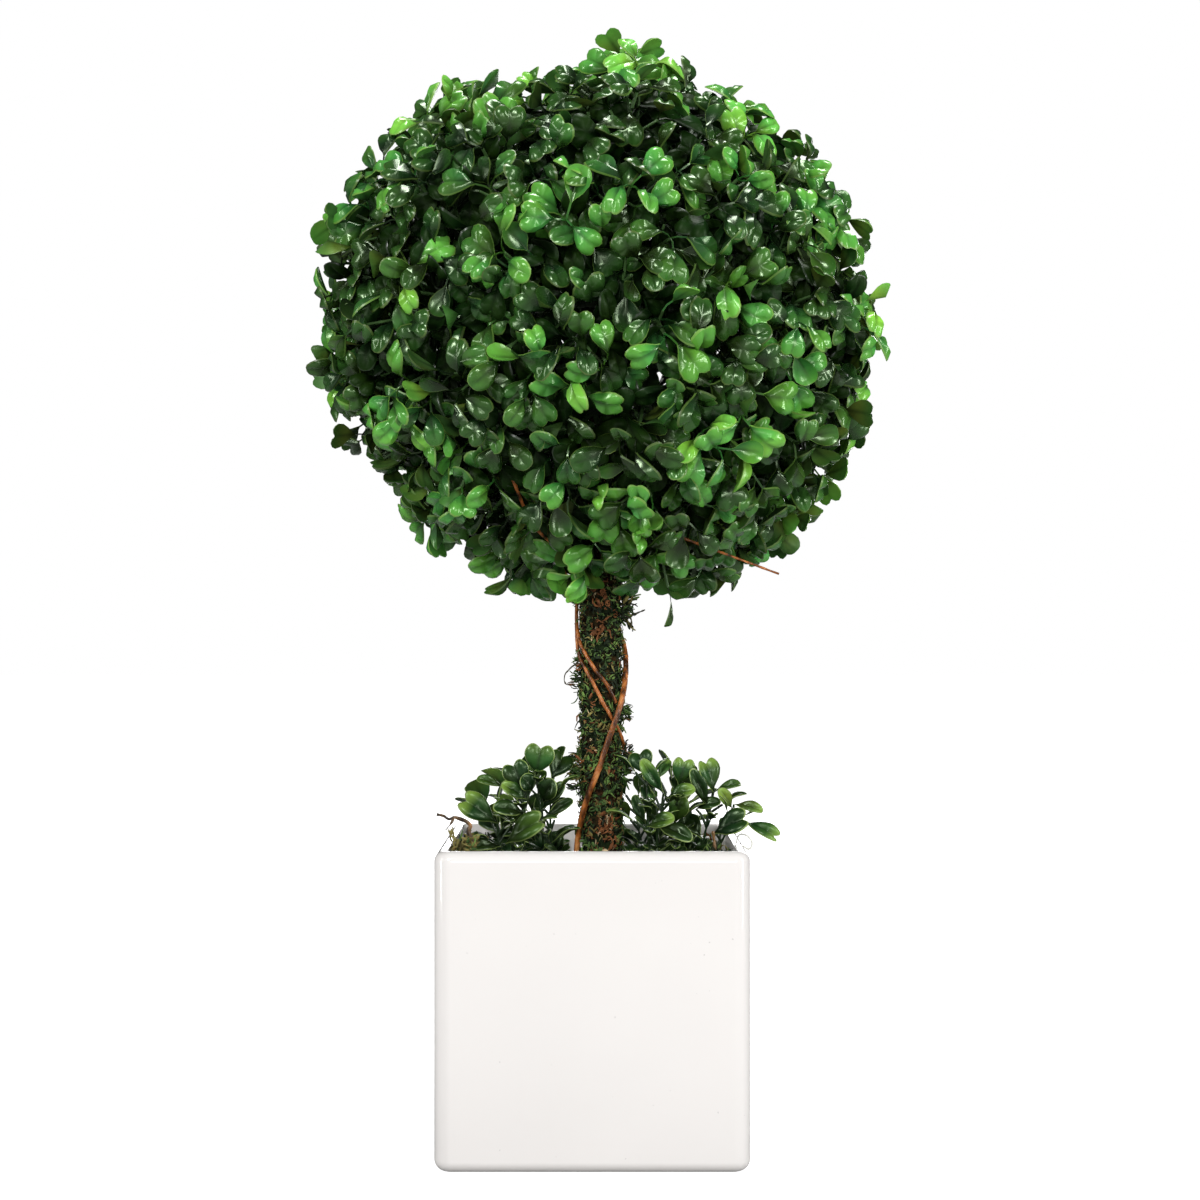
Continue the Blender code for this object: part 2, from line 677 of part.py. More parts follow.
def sprig_keeps(sprig, points):
    """True if a leaf stays in the sprig's own space, clear of the stem, the vines, the moss and the pot."""
    own = sprig_line(sprig)
    others = [sprig_line(s) for s in SPRIGS if s is not sprig]
    inside = POT_WIDTH / 2 - POT_WALL - 0.001
    for point in points:
        near = distance_to_line(point, own) + SPRIG_CLEARANCE
        if any(distance_to_line(point, line) < near for line in others):
            return False
        if near_stem(point, SPRIG_STEM_CLEARANCE) or point.z < MOSS_LOW + MOSS_RELIEF + 0.002:
            return False
        if point.z < POT_HEIGHT + 0.001 and max(abs(point.x), abs(point.y)) > inside:
            return False
    return True


def make_sprig(sprig, rng):
    """A sprig of boxwood: a leaning stem with leaves in crossed pairs and one pair at its tip."""
    name, _, _, height, pairs = sprig
    low, high = sprig_line(sprig)
    leaves = gathering(name + " leaves")
    blank = leaf_blank("sprig leaf", SPRIG_LEAF_LENGTH, SPRIG_LEAF_WIDTH)
    upright = low + Vector((0, 0, SPRIG_UPRIGHT_FOOT))
    route = (low, upright, low.lerp(high, 0.5), high)
    stem = tapered_strand(route, SPRIG_STEM_RADIUS, bpy.context.scene.collection, 4)
    stem.name = name
    axis = (high - low).normalized()
    turn = rng.uniform(0, math.tau)
    for index in range(pairs):
        share = SPRIG_FIRST_PAIR + (0.98 - SPRIG_FIRST_PAIR) * index / (pairs - 1)
        node = low.lerp(high, share)
        for side_index in (0, 1):
            side = side_ways(axis, turn + math.pi * side_index)
            open_by = math.radians(SPRIG_OPEN - SPRIG_CLOSE * share + rng.uniform(-8, 8))
            way = axis * math.cos(open_by) + side * math.sin(open_by)
            petiole = way * rng.uniform(0.004, 0.009)
            upper = (axis * 1.0 + side * -0.4 + Vector((0, 0, 0.4))).normalized()
            matrix = leaf_matrix(node + petiole, way, upper, rng.uniform(0.85, 1.05))
            points = leaf_points(matrix, SPRIG_LEAF_LENGTH, SPRIG_LEAF_WIDTH)
            if not sprig_keeps(sprig, points + [node]):
                continue
            tapered_strand((node, node + petiole * 1.3), PETIOLE_RADIUS, leaves)
            add_leaf(blank, matrix, leaves)
        turn += math.radians(90)
    fuse(stem, leaves)
    return dress(stem, finish_of("sprig green", SPRIG_GREEN))


def main():
    clear_scene()
    make_pot()
    make_filling()
    make_moss(random.Random(11))
    make_stem(random.Random(5))
    lift = 2 * VINE_THIN_RADIUS + 3 * SEAT_GAP
    make_vine("vine_stout", VINE_STOUT_ROUTE, VINE_STOUT_RADIUS, lift)
    make_vine("vine_thin_lower", VINE_LOWER_ROUTE, VINE_THIN_RADIUS)
    make_vine("vine_thin_upper", VINE_UPPER_ROUTE, VINE_THIN_RADIUS)
    make_foliage_ball(random.Random(3))
    for index, sprig in enumerate(SPRIGS):
        make_sprig(sprig, random.Random(40 + index))


main()
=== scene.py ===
"""Artificial boxwood ball in its glazed pot: the finished surfaces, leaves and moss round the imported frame.

Metres, +Z up, front towards -Y, as in the frame. Each operator in the sidebar's Boxwood tab makes one
piece or one group of like pieces. The sizes that the frame's solids share are read from the frame or
repeated here under the same names.
"""

import math
import random

import bmesh
import bpy
import numpy as np
from bpy.props import FloatProperty, FloatVectorProperty, IntProperty, PointerProperty
from mathutils import Matrix, Vector, noise


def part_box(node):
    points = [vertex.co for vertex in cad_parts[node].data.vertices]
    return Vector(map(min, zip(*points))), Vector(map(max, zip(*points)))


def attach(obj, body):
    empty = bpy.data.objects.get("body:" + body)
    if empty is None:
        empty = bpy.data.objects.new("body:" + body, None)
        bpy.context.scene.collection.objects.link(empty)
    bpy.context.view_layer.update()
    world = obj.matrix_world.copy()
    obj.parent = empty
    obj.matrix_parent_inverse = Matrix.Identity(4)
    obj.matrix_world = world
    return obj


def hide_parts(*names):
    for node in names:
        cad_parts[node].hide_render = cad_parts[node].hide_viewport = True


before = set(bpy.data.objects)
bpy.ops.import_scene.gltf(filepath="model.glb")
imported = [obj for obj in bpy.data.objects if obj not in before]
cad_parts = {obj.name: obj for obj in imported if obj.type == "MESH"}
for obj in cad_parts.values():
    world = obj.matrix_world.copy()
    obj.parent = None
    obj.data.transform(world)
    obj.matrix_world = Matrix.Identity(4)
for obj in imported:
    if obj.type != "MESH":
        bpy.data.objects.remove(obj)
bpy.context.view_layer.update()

bl_info = {
    "name": "Potted boxwood ball",
    "version": (1, 0, 0),
    "blender": (4, 5, 0),
    "location": "3D View > Sidebar > Boxwood",
    "description": "Builds an artificial boxwood ball with its pot, moss, vines and sprigs",
    "category": "Object",
}

BODY = "root"
SPRIG_NODES = tuple(sorted(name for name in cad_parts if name.startswith("sprig_")))

POT_LOW, POT_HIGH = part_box("pot")
POT_WIDTH = POT_HIGH.x - POT_LOW.x
POT_HEIGHT = POT_HIGH.z - POT_LOW.z
STEM_LOW, STEM_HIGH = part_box("stem")
FILL_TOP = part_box("filling")[1].z
BALL_LOW, BALL_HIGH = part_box("foliage_ball")
MM = 0.001
# The gap that touching solids keep, and how far leaves may stand out of the box of the ball's solid.
SEAT_GAP = 0.0003
BALL_MARGIN = 0.0025

# Stem
STEM_X = 0.0035
STEM_TOP_X = 0.0030
STEM_RADIUS = 0.0088
STEM_TOP_RADIUS = 0.0086
# The wrapped surface under the strands of moss lies this much inside the stem's solid.
STEM_SURFACE_DEPTH = 0.0012

# Leaf ball: centre, mean reach of the tips, and their reach every ten degrees from +X over the top.
BALL_CENTRE = Vector((0.0030, 0.0, 0.3288))
BALL_RADIUS = 0.1130
OUTLINE_REACH = (
    *(0.119, 0.111, 0.112, 0.117, 0.111, 0.114, 0.108, 0.105, 0.118),
    *(0.110, 0.107, 0.106, 0.110, 0.120, 0.119, 0.119, 0.119, 0.117),
    *(0.119, 0.116, 0.112, 0.108, 0.110, 0.113, 0.110, 0.114, 0.112),
    *(0.111, 0.112, 0.115, 0.117, 0.120, 0.112, 0.116, 0.117, 0.110),
)
# Sprays that stand out of the clipped outline: direction from the ball's centre and reach of the tip.
STRAY_SPRAYS = (
    ((0.10, -0.10, 1.00), 0.1200),
    ((0.20, 0.05, 0.98), 0.1200),
    ((1.00, -0.10, 0.04), 0.1198),
    ((-0.90, 0.05, 0.43), 0.1250),
    ((-0.80, -0.08, 0.58), 0.1220),
    ((-1.00, -0.12, 0.06), 0.1202),
    ((-0.98, 0.10, -0.17), 0.1195),
    ((0.70, -0.10, -0.71), 0.1210),
    ((0.05, 1.00, 0.10), 0.1170),
    ((-0.10, -1.00, -0.15), 0.1160),
    ((-0.906, -0.05, -0.423), 0.1185),
    ((-0.669, 0.05, -0.743), 0.1175),
    ((-0.342, -0.10, -0.940), 0.1180),
    ((0.438, 0.08, -0.899), 0.1205),
    ((0.766, -0.05, -0.643), 0.1210),
    ((0.956, 0.08, -0.292), 0.1200),
    ((0.669, 0.05, 0.743), 0.1160),
    ((0.906, -0.08, 0.423), 0.1190),
    ((0.848, 0.06, 0.530), 0.1205),
    ((0.788, -0.10, 0.616), 0.1185),
    ((0.883, 0.05, -0.469), 0.1195),
    ((0.974, -0.06, -0.225), 0.1205),
    ((0.999, 0.10, -0.052), 0.1195),
    ((0.391, -0.10, -0.921), 0.1200),
    ((-0.574, 0.05, 0.819), 0.1215),
    ((-0.259, 0.05, -0.966), 0.1175),
)

# Leaf rims from the middle of the tip to the foot, as shares of the leaf's width and length.
HEART_RIM = (
    *((0.0, 0.865), (0.16, 0.975), (0.33, 0.990), (0.465, 0.865)),
    *((0.50, 0.67), (0.355, 0.40), (0.11, 0.17), (0.0, 0.0)),
)
SPOON_RIM = (
    *((0.0, 1.0), (0.15, 0.985), (0.31, 0.93), (0.44, 0.80)),
    *((0.49, 0.62), (0.36, 0.36), (0.11, 0.15), (0.0, 0.0)),
)
LEAF_CENTRE = 0.60
GROOVE_WIDTH = 0.15
# Rim points and inner rings of the ball's many leaves, and of the few larger ones of the sprigs.
BALL_RINGS = (16, (0.970, 0.62))
SPRIG_RINGS = (28, (0.945, 0.68, 0.34))
STALK_SIDES = 3
STALK_RADIUS = 0.00042
# A stalk runs on into its blade by this share of its length, and arches by this one.
STALK_END = 1.12
STALK_RISE = 0.12

# Styles of the ball's leaves: share of leaves, width, notch, puff, cup, groove, bend and pitch in degrees.
BALL_STYLES = (
    (0.28, 1.02, 0.90, 0.32, 0.00, 0.85, 0.12, 18),
    (0.25, 0.90, 0.75, 0.33, 0.00, 0.80, 0.24, 42),
    (0.19, 0.74, 0.10, 0.27, 0.04, 0.75, 0.18, 8),
    (0.20, 0.84, 0.50, 0.36, 0.00, 0.80, 0.36, 30),
    (0.08, 0.80, 0.10, -0.12, 0.08, 0.00, 0.10, 12),
)
# The sprigs' leaves: notch, puff, cup, groove, bend and pitch.
SPRIG_STYLES = {
    "heart": (1.0, 0.16, 0.10, 0.80, 0.14, 0),
    "spoon": (0.05, 0.15, 0.12, 0.80, 0.20, 0),
}

# Nodes of a spray from its tip inwards: distance from the tip, leaves, and their angle from the axis.
SPRAY_NODES = (
    (0.0000, 3, 38),
    (0.0070, 2, 62),
    (0.0140, 2, 74),
    (0.0220, 2, 80),
    (0.0310, 2, 84),
)
# Side shoots: distance from the spray's tip, number and length.
SIDE_SHOOTS = ((0.0110, 1, 0.011), (0.0190, 2, 0.014), (0.0280, 1, 0.015))
SHOOT_NODES = ((0.0000, 2, 36), (0.0060, 2, 70))
# A spray's least and most share of the outline's reach, its length, and how far its axis strays and bends.
SPRAY_REACH = (0.965, 1.05)
SPRAY_LENGTH = 0.034
SPRAY_STRAY = 0.16
SPRAY_BEND = 0.0025
SPRAY_RADIUS = 0.0009
SHOOT_RADIUS = 0.0006
# A spray's stem ends below the outline by this share of a leaf with its stalk, and a shoot by this depth.
TIP_SHARE = 0.76
SHOOT_DEPTH = 0.008
# Leaves of the ball: least and most size, droop, how far they turn, and how their angle strays in degrees.
LEAF_SIZES = (0.86, 1.12)
LEAF_DROOP = Vector((0, 0, -0.20))
LEAF_TURN = 0.65
LEAF_STRAY = 18
LEAF_TRIES = 7
STEM_CLEARANCE = 0.0025


def clamp(value, low=0.0, high=1.0):
    return min(high, max(low, value))


# Meshes and materials


def object_from(bm, name, smooth_angle=None):
    """A new object that holds the bmesh, shaded smooth up to an angle."""
    mesh = bpy.data.meshes.new(name)
    bm.to_mesh(mesh)
    bm.free()
    if smooth_angle is not None:
        mesh.shade_smooth()
        mesh.set_sharp_from_angle(angle=math.radians(smooth_angle))
    made = bpy.data.objects.new(name, mesh)
    bpy.context.scene.collection.objects.link(made)
    return made


def settle(made, slot, finishes, *nodes):
    """Dresses a finished piece, puts it under its body and hides the frame's solids it stands for; the slot
    is not used.
    """
    for finish in finishes:
        made.data.materials.append(finish)
    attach(made, BODY)
    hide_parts(*nodes)


class Finish:
    """A Principled material with helpers for patterns on Object coordinates or on the leaf's flat map."""

    def __init__(self, name, roughness, specular=0.5):
        self.material = bpy.data.materials.new(name)
        self.material.use_nodes = True
        self.nodes = self.material.node_tree.nodes
        self.links = self.material.node_tree.links
        self.shader = self.nodes["Principled BSDF"]
        self.shader.inputs["Roughness"].default_value = roughness
        self.shader.inputs["Specular IOR Level"].default_value = specular
        self.place = self.nodes.new("ShaderNodeTexCoord").outputs["Object"]

    def speckle(self, scale, detail=3.0, stretch=None):
        """Noise at a scale in cells a metre, stretched along an axis where asked."""
        texture = self.nodes.new("ShaderNodeTexNoise")
        texture.inputs["Scale"].default_value = scale
        texture.inputs["Detail"].default_value = detail
        source = self.place
        if stretch:
            mapping = self.nodes.new("ShaderNodeMapping")
            mapping.inputs["Scale"].default_value = stretch
            self.links.new(source, mapping.inputs["Vector"])
            source = mapping.outputs["Vector"]
        self.links.new(source, texture.inputs["Vector"])
        return texture.outputs["Fac"]

    def ramp(self, factor, stops):
        """Colours by a factor: each stop is its place and colour."""
        node = self.nodes.new("ShaderNodeValToRGB")
        band = node.color_ramp
        while len(band.elements) < len(stops):
            band.elements.new(0.5)
        for element, (place, colour) in zip(band.elements, stops, strict=True):
            element.position = place
            element.color = (*colour, 1.0)
        self.links.new(factor, node.inputs["Fac"])
        return node.outputs["Color"]

    def mixed(self, factor, first, second, blend="MIX"):
        """Mixes two colours, each a socket or a plain colour, by a factor."""
        node = self.nodes.new("ShaderNodeMix")
        node.data_type = "RGBA"
        node.blend_type = blend
        for socket, value in zip((node.inputs[0], node.inputs[6], node.inputs[7]), (factor, first, second)):
            if isinstance(value, bpy.types.NodeSocket):
                self.links.new(value, socket)
            else:
                socket.default_value = value if socket.type == "VALUE" else (*value, 1.0)
        return node.outputs[2]

    def spread(self, factor, low, high):
        """A number that runs from low to high with the factor."""
        node = self.nodes.new("ShaderNodeMapRange")
        node.inputs["To Min"].default_value = low
        node.inputs["To Max"].default_value = high
        self.links.new(factor, node.inputs["Value"])
        return node.outputs["Result"]

    def colour(self, socket):
        self.links.new(socket, self.shader.inputs["Base Color"])

    def mottle(self, colour, scale, detail, low, high):
        """Colours the surface with noise, from a darker to a paler share of one colour."""
        tones = ((0.3, shade(colour, low)), (0.7, shade(colour, high)))
        self.colour(self.ramp(self.speckle(scale, detail), tones))

    def gloss(self, factor, low, high):
        self.links.new(self.spread(factor, low, high), self.shader.inputs["Roughness"])

    def relief(self, height, distance, strength=1.0):
        """Adds a bump of a height in metres under the bumps made before."""
        bump = self.nodes.new("ShaderNodeBump")
        bump.inputs["Distance"].default_value = distance
        bump.inputs["Strength"].default_value = strength
        self.links.new(height, bump.inputs["Height"])
        normal = self.shader.inputs["Normal"]
        if normal.is_linked:
            self.links.new(normal.links[0].from_socket, bump.inputs["Normal"])
        self.links.new(bump.outputs["Normal"], normal)


def shade(colour, share):
    """A colour made darker or lighter by a share."""
    return tuple(clamp(part * share) for part in colour)


def glaze_finish(colour):
    """White gloss glaze: faint cloudiness, tiny grey specks and a slight waviness."""
    made = Finish("white glaze", 0.10)
    clouds = made.ramp(made.speckle(14.0, 2.0), ((0.3, shade(colour, 0.985)), (0.7, shade(colour, 1.01))))
    specks = made.ramp(made.speckle(620.0, 1.0), ((0.80, (0, 0, 0)), (0.83, (1, 1, 1))))
    made.colour(made.mixed(specks, clouds, shade(colour, 0.78)))
    made.gloss(made.speckle(60.0), 0.07, 0.14)
    made.relief(made.speckle(34.0, 1.0), 0.0006, 0.25)
    return made.material


def foam_finish(colour):
    """Rough green foam."""
    made = Finish("foam", 0.9, 0.2)
    made.mottle(colour, 300.0, 3.0, 0.7, 1.2)
    made.relief(made.speckle(900.0), 0.0006)
    return made.material


def ground_moss_finish(name, green, brown):
    """Matted moss under the strands: dark green with brown patches, and painted shade in dark hollows."""
    made = Finish(name, 0.95, 0.15)
    patch = made.ramp(made.speckle(110.0, 4.0), ((0.46, shade(green, 0.22)), (0.64, shade(brown, 0.30))))
    # Painted shade: a noise mask darkens spots of the surface to about an eighth of their colour, for shade
    # in hollows.
    pit_shade = made.ramp(made.speckle(700.0, 4.0), ((0.38, (0.12, 0.12, 0.12)), (0.66, (1, 1, 1))))
    made.colour(made.mixed(1.0, patch, pit_shade, "MULTIPLY"))
    made.relief(made.speckle(800.0, 4.0), 0.0012)
    return made.material


def strand_finish(name, colour):
    """One tone of the moss's strands, paler and darker by turns."""
    made = Finish(name, 0.75, 0.3)
    made.mottle(colour, 240.0, 2.0, 0.55, 1.5)
    made.relief(made.speckle(2600.0, 2.0), 0.0002)
    return made.material


def bark_finish(name, colour):
    """Thin red-brown bark: dark and orange streaks, pale rubbed spots and a fine grain."""
    made = Finish(name, 0.5, 0.4)
    streaks = made.speckle(330.0, 4.0, stretch=(1.0, 1.0, 0.35))
    stops = [(place, shade(colour, share)) for place, share in ((0.38, 0.18), (0.48, 0.8), (0.58, 1.7))]
    made.colour(made.ramp(streaks, [*stops, (0.70, (0.60, 0.27, 0.09))]))
    made.gloss(made.speckle(500.0), 0.20, 0.40)
    made.relief(made.speckle(1300.0, 4.0), 0.00025)
    return made.material


def stalk_finish(name, colour):
    """Smooth moulded plastic of stalks and of the leaves' inner frame."""
    made = Finish(name, 0.42)
    made.mottle(colour, 120.0, 2.0, 0.6, 1.4)
    made.relief(made.speckle(1500.0, 2.0), 0.0002)
    return made.material


def leaf_finish(name, colour, tip, gloss, specular=0.6, tip_start=0.45):
    """Moulded leaf: tone drifting between leaves and to the tip, painted shade at foot and midrib, faintly
    uneven gloss.
    """
    made = Finish(name, gloss, specular)
    made.shader.inputs["Specular Tint"].default_value = (0.76, 1.0, 0.64, 1.0)
    flat = made.nodes.new("ShaderNodeUVMap")
    flat.uv_map = LEAF_MAP
    parts = made.nodes.new("ShaderNodeSeparateXYZ")
    made.links.new(flat.outputs["UV"], parts.inputs["Vector"])
    drift = made.speckle(75.0, 2.0)
    rich = (colour[0] * 1.28, colour[1], colour[2] * 1.40)
    body = made.ramp(drift, ((0.30, shade(rich, 0.55)), (0.52, rich), (0.74, shade(rich, 1.55))))
    hue = made.ramp(made.speckle(48.0, 1.0), ((0.40, (0.58, 1.0, 1.0)), (0.60, (1.0, 1.0, 0.55))))
    body = made.mixed(1.0, body, hue, "MULTIPLY")
    # Painted shade: darker towards the leaf's foot and along the midrib groove, where the puffed lobes are
    # shaded.
    foot = made.ramp(parts.outputs["Y"], ((0.10, (0.40, 0.40, 0.40)), (0.62, (1.0, 1.0, 1.0))))
    groove = made.ramp(parts.outputs["X"], ((0.38, (1, 1, 1)), (0.5, (0.45, 0.45, 0.45)), (0.62, (1, 1, 1))))
    towards_tip = made.ramp(parts.outputs["Y"], ((tip_start, (0, 0, 0)), (1.0, (0.9, 0.9, 0.9))))
    shaded = made.mixed(1.0, made.mixed(1.0, body, foot, "MULTIPLY"), groove, "MULTIPLY")
    made.colour(made.mixed(towards_tip, shaded, tip))
    made.gloss(made.speckle(300.0), gloss * 0.75, gloss * 1.3)
    made.relief(made.speckle(420.0, 2.0), 0.00012, 0.6)
    return made.material


def plain_finish(name, colour, roughness):
    """A thin line or edge whose tone drifts a little."""
    made = Finish(name, roughness)
    made.mottle(colour, 90.0, 2.0, 0.75, 1.2)
    return made.material


# Small shapes that are stamped many times

LEAF_MAP = "leaf"


class Shape:
    """The points, faces, slots and flat map of a small bmesh, as arrays ready to be stamped."""

    def __init__(self, bm):
        bmesh.ops.recalc_face_normals(bm, faces=bm.faces)
        bm.verts.index_update()
        layer = bm.loops.layers.uv.get(LEAF_MAP)
        self.points = np.array([vert.co for vert in bm.verts], np.float32)
        self.corners = np.array([vert.index for face in bm.faces for vert in face.verts], np.int32)
        self.sizes = np.array([len(face.verts) for face in bm.faces], np.int32)
        self.slots = np.array([face.material_index for face in bm.faces], np.int32)
        loops = [loop for face in bm.faces for loop in face.loops]
        self.flat = np.array([loop[layer].uv if layer else (0.5, 0.5) for loop in loops], np.float32)
        bm.free()


def stamped(name, batches, smooth_angle=60):
    """One joined mesh of many copies. Each batch is a shape, its matrices and the first of its slots."""
    points, corners, sizes, slots, flat = [], [], [], [], []
    base = 0
    for shape, matrices, first_slot in batches:
        if not matrices:
            continue
        places = np.array([[list(row) for row in matrix] for matrix in matrices], np.float32)
        moved = np.einsum("nij,vj->nvi", places[:, :3, :3], shape.points) + places[:, None, :3, 3]
        starts = base + np.arange(len(matrices), dtype=np.int32) * len(shape.points)
        points.append(moved.reshape(-1, 3))
        corners.append((starts[:, None] + shape.corners[None, :]).reshape(-1))
        sizes.append(np.tile(shape.sizes, len(matrices)))
        slots.append(np.tile(shape.slots + first_slot, len(matrices)))
        flat.append(np.tile(shape.flat, (len(matrices), 1)))
        base += len(matrices) * len(shape.points)
    parts = (points, corners, sizes, slots, flat)
    points, corners, sizes, slots, flat = (np.concatenate(part) for part in parts)
    mesh = bpy.data.meshes.new(name)
    mesh.vertices.add(len(points))
    mesh.vertices.foreach_set("co", points.reshape(-1))
    mesh.loops.add(len(corners))
    mesh.loops.foreach_set("vertex_index", corners)
    mesh.polygons.add(len(sizes))
    mesh.polygons.foreach_set("loop_start", np.concatenate(([0], np.cumsum(sizes)[:-1])).astype(np.int32))
    mesh.polygons.foreach_set("material_index", slots)
    mesh.uv_layers.new(name=LEAF_MAP).uv.foreach_set("vector", flat.reshape(-1))
    mesh.update(calc_edges=True)
    mesh.validate()
    mesh.shade_smooth()
    mesh.set_sharp_from_angle(angle=math.radians(smooth_angle))
    made = bpy.data.objects.new(name, mesh)
    bpy.context.scene.collection.objects.link(made)
    return made


def eased(points, count):
    """Points evenly dealt along a smooth line through the given ones, as lists of numbers."""
    last = len(points) - 1
    found = []
    for index in range(count):
        place = last * index / (count - 1)
        k = min(int(place), last - 1)
        t = place - k
        near = (points[min(max(k + j, 0), last)] for j in (-1, 0, 1, 2))
        found.append(
            [
                b + 0.5 * t * (c - a + t * (2 * a - 5 * b + 4 * c - d + t * (3 * (b - c) + d - a)))
                for a, b, c, d in zip(*near, strict=True)
            ]
        )
    return found


def line_through(points, count):
    """Points along a smooth line through the given ones, which are in millimetres."""
    return [Vector(point) * MM for point in eased(points, count)]


def of_type(items, kind):
    return [item for item in items if isinstance(item, kind)]


def first_ring(bm, sides, radius, place):
    """Starts a tube with a closed end; returns the edges that it goes on from."""
    ring = bmesh.ops.create_circle(bm, cap_ends=True, segments=sides, radius=radius, matrix=place)["verts"]
    return list(ring[0].link_faces[0].edges)


def next_ring(bm, edges):
    """Extrudes a tube's open end; returns the new edges and their points, still at the old place."""
    grown = bmesh.ops.extrude_edge_only(bm, edges=edges)["geom"]
    return of_type(grown, bmesh.types.BMEdge), of_type(grown, bmesh.types.BMVert)


# Turns a ring so that its tube runs along +Y.
LYING = Matrix.Rotation(math.radians(-90), 4, "X")
# A strand of moss: steps along it, its radius, and how far it swings to the sides.
CURL_STEPS = 3
CURL_RADIUS = 0.10
CURL_SWING = 0.28


def leaf_rim(segments, notch):
    """A leaf's rim from the middle of the tip round and back, as shares of width and length."""
    mixed = [[h * notch + s * (1 - notch) for h, s in zip(*pair)] for pair in zip(HEART_RIM, SPOON_RIM)]
    half = eased(mixed, segments // 2 + 1)
    return half + [[-across, along] for across, along in reversed(half[1:-1])]


def add_stalk(bm, length):
    """The leaf's stalk: a thin tube along +Y from the origin, arched a little."""
    rise = STALK_RISE * length
    edges = first_ring(bm, STALK_SIDES, STALK_RADIUS, LYING)
    for share, height in ((0.5, rise), (STALK_END, -rise)):
        edges, ring = next_ring(bm, edges)
        for vert in ring:
            vert.co.y = share * length
            vert.co.z += height
    bmesh.ops.contextual_create(bm, geom=edges)


def leaf_shape(length, width, stalk, style, rings):
    """A puffy leaf on its stalk: the stalk's foot at the origin, tip towards +Y, upper side towards +Z."""
    notch, puff, cup, groove, bend, pitch = style
    segments, inner_rings = rings
    rim = leaf_rim(segments, notch)
    bm = bmesh.new()
    flat = bm.loops.layers.uv.new(LEAF_MAP)
    bmesh.ops.create_circle(bm, cap_ends=True, segments=segments, radius=1.0)
    blade = next(iter(bm.faces))
    share_of = {vert: 1.0 for vert in blade.verts}
    for inner in inner_rings:
        ring = bmesh.ops.inset_individual(bm, faces=[blade], thickness=0.05)["faces"]
        share_of.update({vert: inner for vert in blade.verts})
        for face in ring:
            face.material_index = 1 if inner == inner_rings[0] else 0
    middle = bmesh.ops.poke(bm, faces=[blade])["verts"][0]
    share_of[middle] = 0.0
    edges = [edge for edge in bm.edges if edge.is_boundary]
    under = bmesh.ops.contextual_create(bm, geom=edges)["faces"]
    under[0].material_index = 2
    below = bmesh.ops.poke(bm, faces=under)["verts"][0]
    share_of[below] = 0.0
    tilt = math.radians(pitch)
    for vert, share in share_of.items():
        step = round(math.atan2(vert.co.x, vert.co.y) / math.tau * segments) % segments
        across, along = rim[step]
        across, along = across * share, LEAF_CENTRE + (along - LEAF_CENTRE) * share
        valley = 1 - groove * math.exp(-((across / GROOVE_WIDTH) ** 2)) * min(1.0, 0.25 + along)
        lift = puff * (1 - share * share) ** (0.6 if puff > 0 else 1.0) * valley
        if vert is below:
            lift *= 0.25 if puff > 0 else 2.4
        height = length * (lift + cup * (2 * across) ** 2 - bend * along * along)
        for loop in vert.link_loops:
            loop[flat].uv = (0.5 + across, along)
        reach = along * length
        vert.co.x = across * width
        vert.co.y = stalk + reach * math.cos(tilt) + height * math.sin(tilt)
        vert.co.z = height * math.cos(tilt) - reach * math.sin(tilt)
    if stalk:
        add_stalk(bm, stalk)
    return Shape(bm)


def stick_shape(sides):
    """A round stick of unit radius and length that tapers towards +Z."""
    bm = bmesh.new()
    bmesh.ops.create_cone(bm, cap_ends=True, segments=sides, radius1=1.0, radius2=0.85, depth=1.0)
    bmesh.ops.translate(bm, vec=(0, 0, 0.5), verts=bm.verts)
    return Shape(bm)


def carried(origin, across, along, upwards):
    """The matrix that carries the unit axes to three directions at a point."""
    return Matrix.Translation(origin) @ Matrix((across, along, upwards)).transposed().to_4x4()


def stick_matrix(low, high, radius):
    """Stretches the unit stick between two points."""
    way = high - low
    across = way.orthogonal().normalized()
    return carried(low, across * radius, way.cross(across).normalized() * radius, way)


def laid_matrix(foot, along, upper, sizes):
    """Puts a shape's foot at a point, its +Y along a direction and its +Z towards an upper side."""
    along = along.normalized()
    across = along.cross(upper).normalized()
    width, length, height = sizes
    return carried(foot, across * width, along * length, across.cross(along) * height)


def curl_shape(turns, lift, forked):
    """A curly strand of moss of unit length along +Y, flat towards +Z, with a leaflet where it forks."""
    bm = bmesh.new()
    edges = first_ring(bm, 3, CURL_RADIUS, LYING)
    last = Vector()
    for step in range(1, CURL_STEPS + 1):
        share = step / CURL_STEPS
        angle = turns * math.tau * share
        place = Vector((CURL_SWING * math.sin(angle), share, lift * math.sin(share * math.pi * 0.7)))
        edges, ring = next_ring(bm, edges)
        bmesh.ops.translate(bm, vec=place - last, verts=ring)
        size = 1.25 if step == 1 else 0.72
        bmesh.ops.scale(bm, vec=(size, 1, size), space=Matrix.Translation(-place), verts=ring)
        last = place
    bmesh.ops.contextual_create(bm, geom=edges)
    if forked:
        leaf = bmesh.ops.create_icosphere(bm, subdivisions=1, radius=0.26)["verts"]
        bmesh.ops.scale(bm, vec=(0.75, 1.5, 0.30), verts=leaf)
        bmesh.ops.translate(bm, vec=(0.18, 0.55, lift * 0.7), verts=leaf)
    return Shape(bm)


# The rules that the frame's solids grow by


def scattered(rng, spread):
    """A random offset inside a box of half sizes."""
    return Vector([rng.uniform(-size, size) for size in spread])


def jitter(rng, size):
    return scattered(rng, (size, size, size))


def stem_axis(height):
    """Centre of the stem at a height: it leans a little."""
    share = (height - FILL_TOP) / (STEM_HIGH.z - FILL_TOP)
    return Vector((STEM_X + (STEM_TOP_X - STEM_X) * share, 0.0, height))


def stem_radius(height):
    """Radius over the lumps of moss at a height."""
    share = (height - FILL_TOP) / (STEM_HIGH.z - FILL_TOP)
    return STEM_RADIUS + (STEM_TOP_RADIUS - STEM_RADIUS) * share


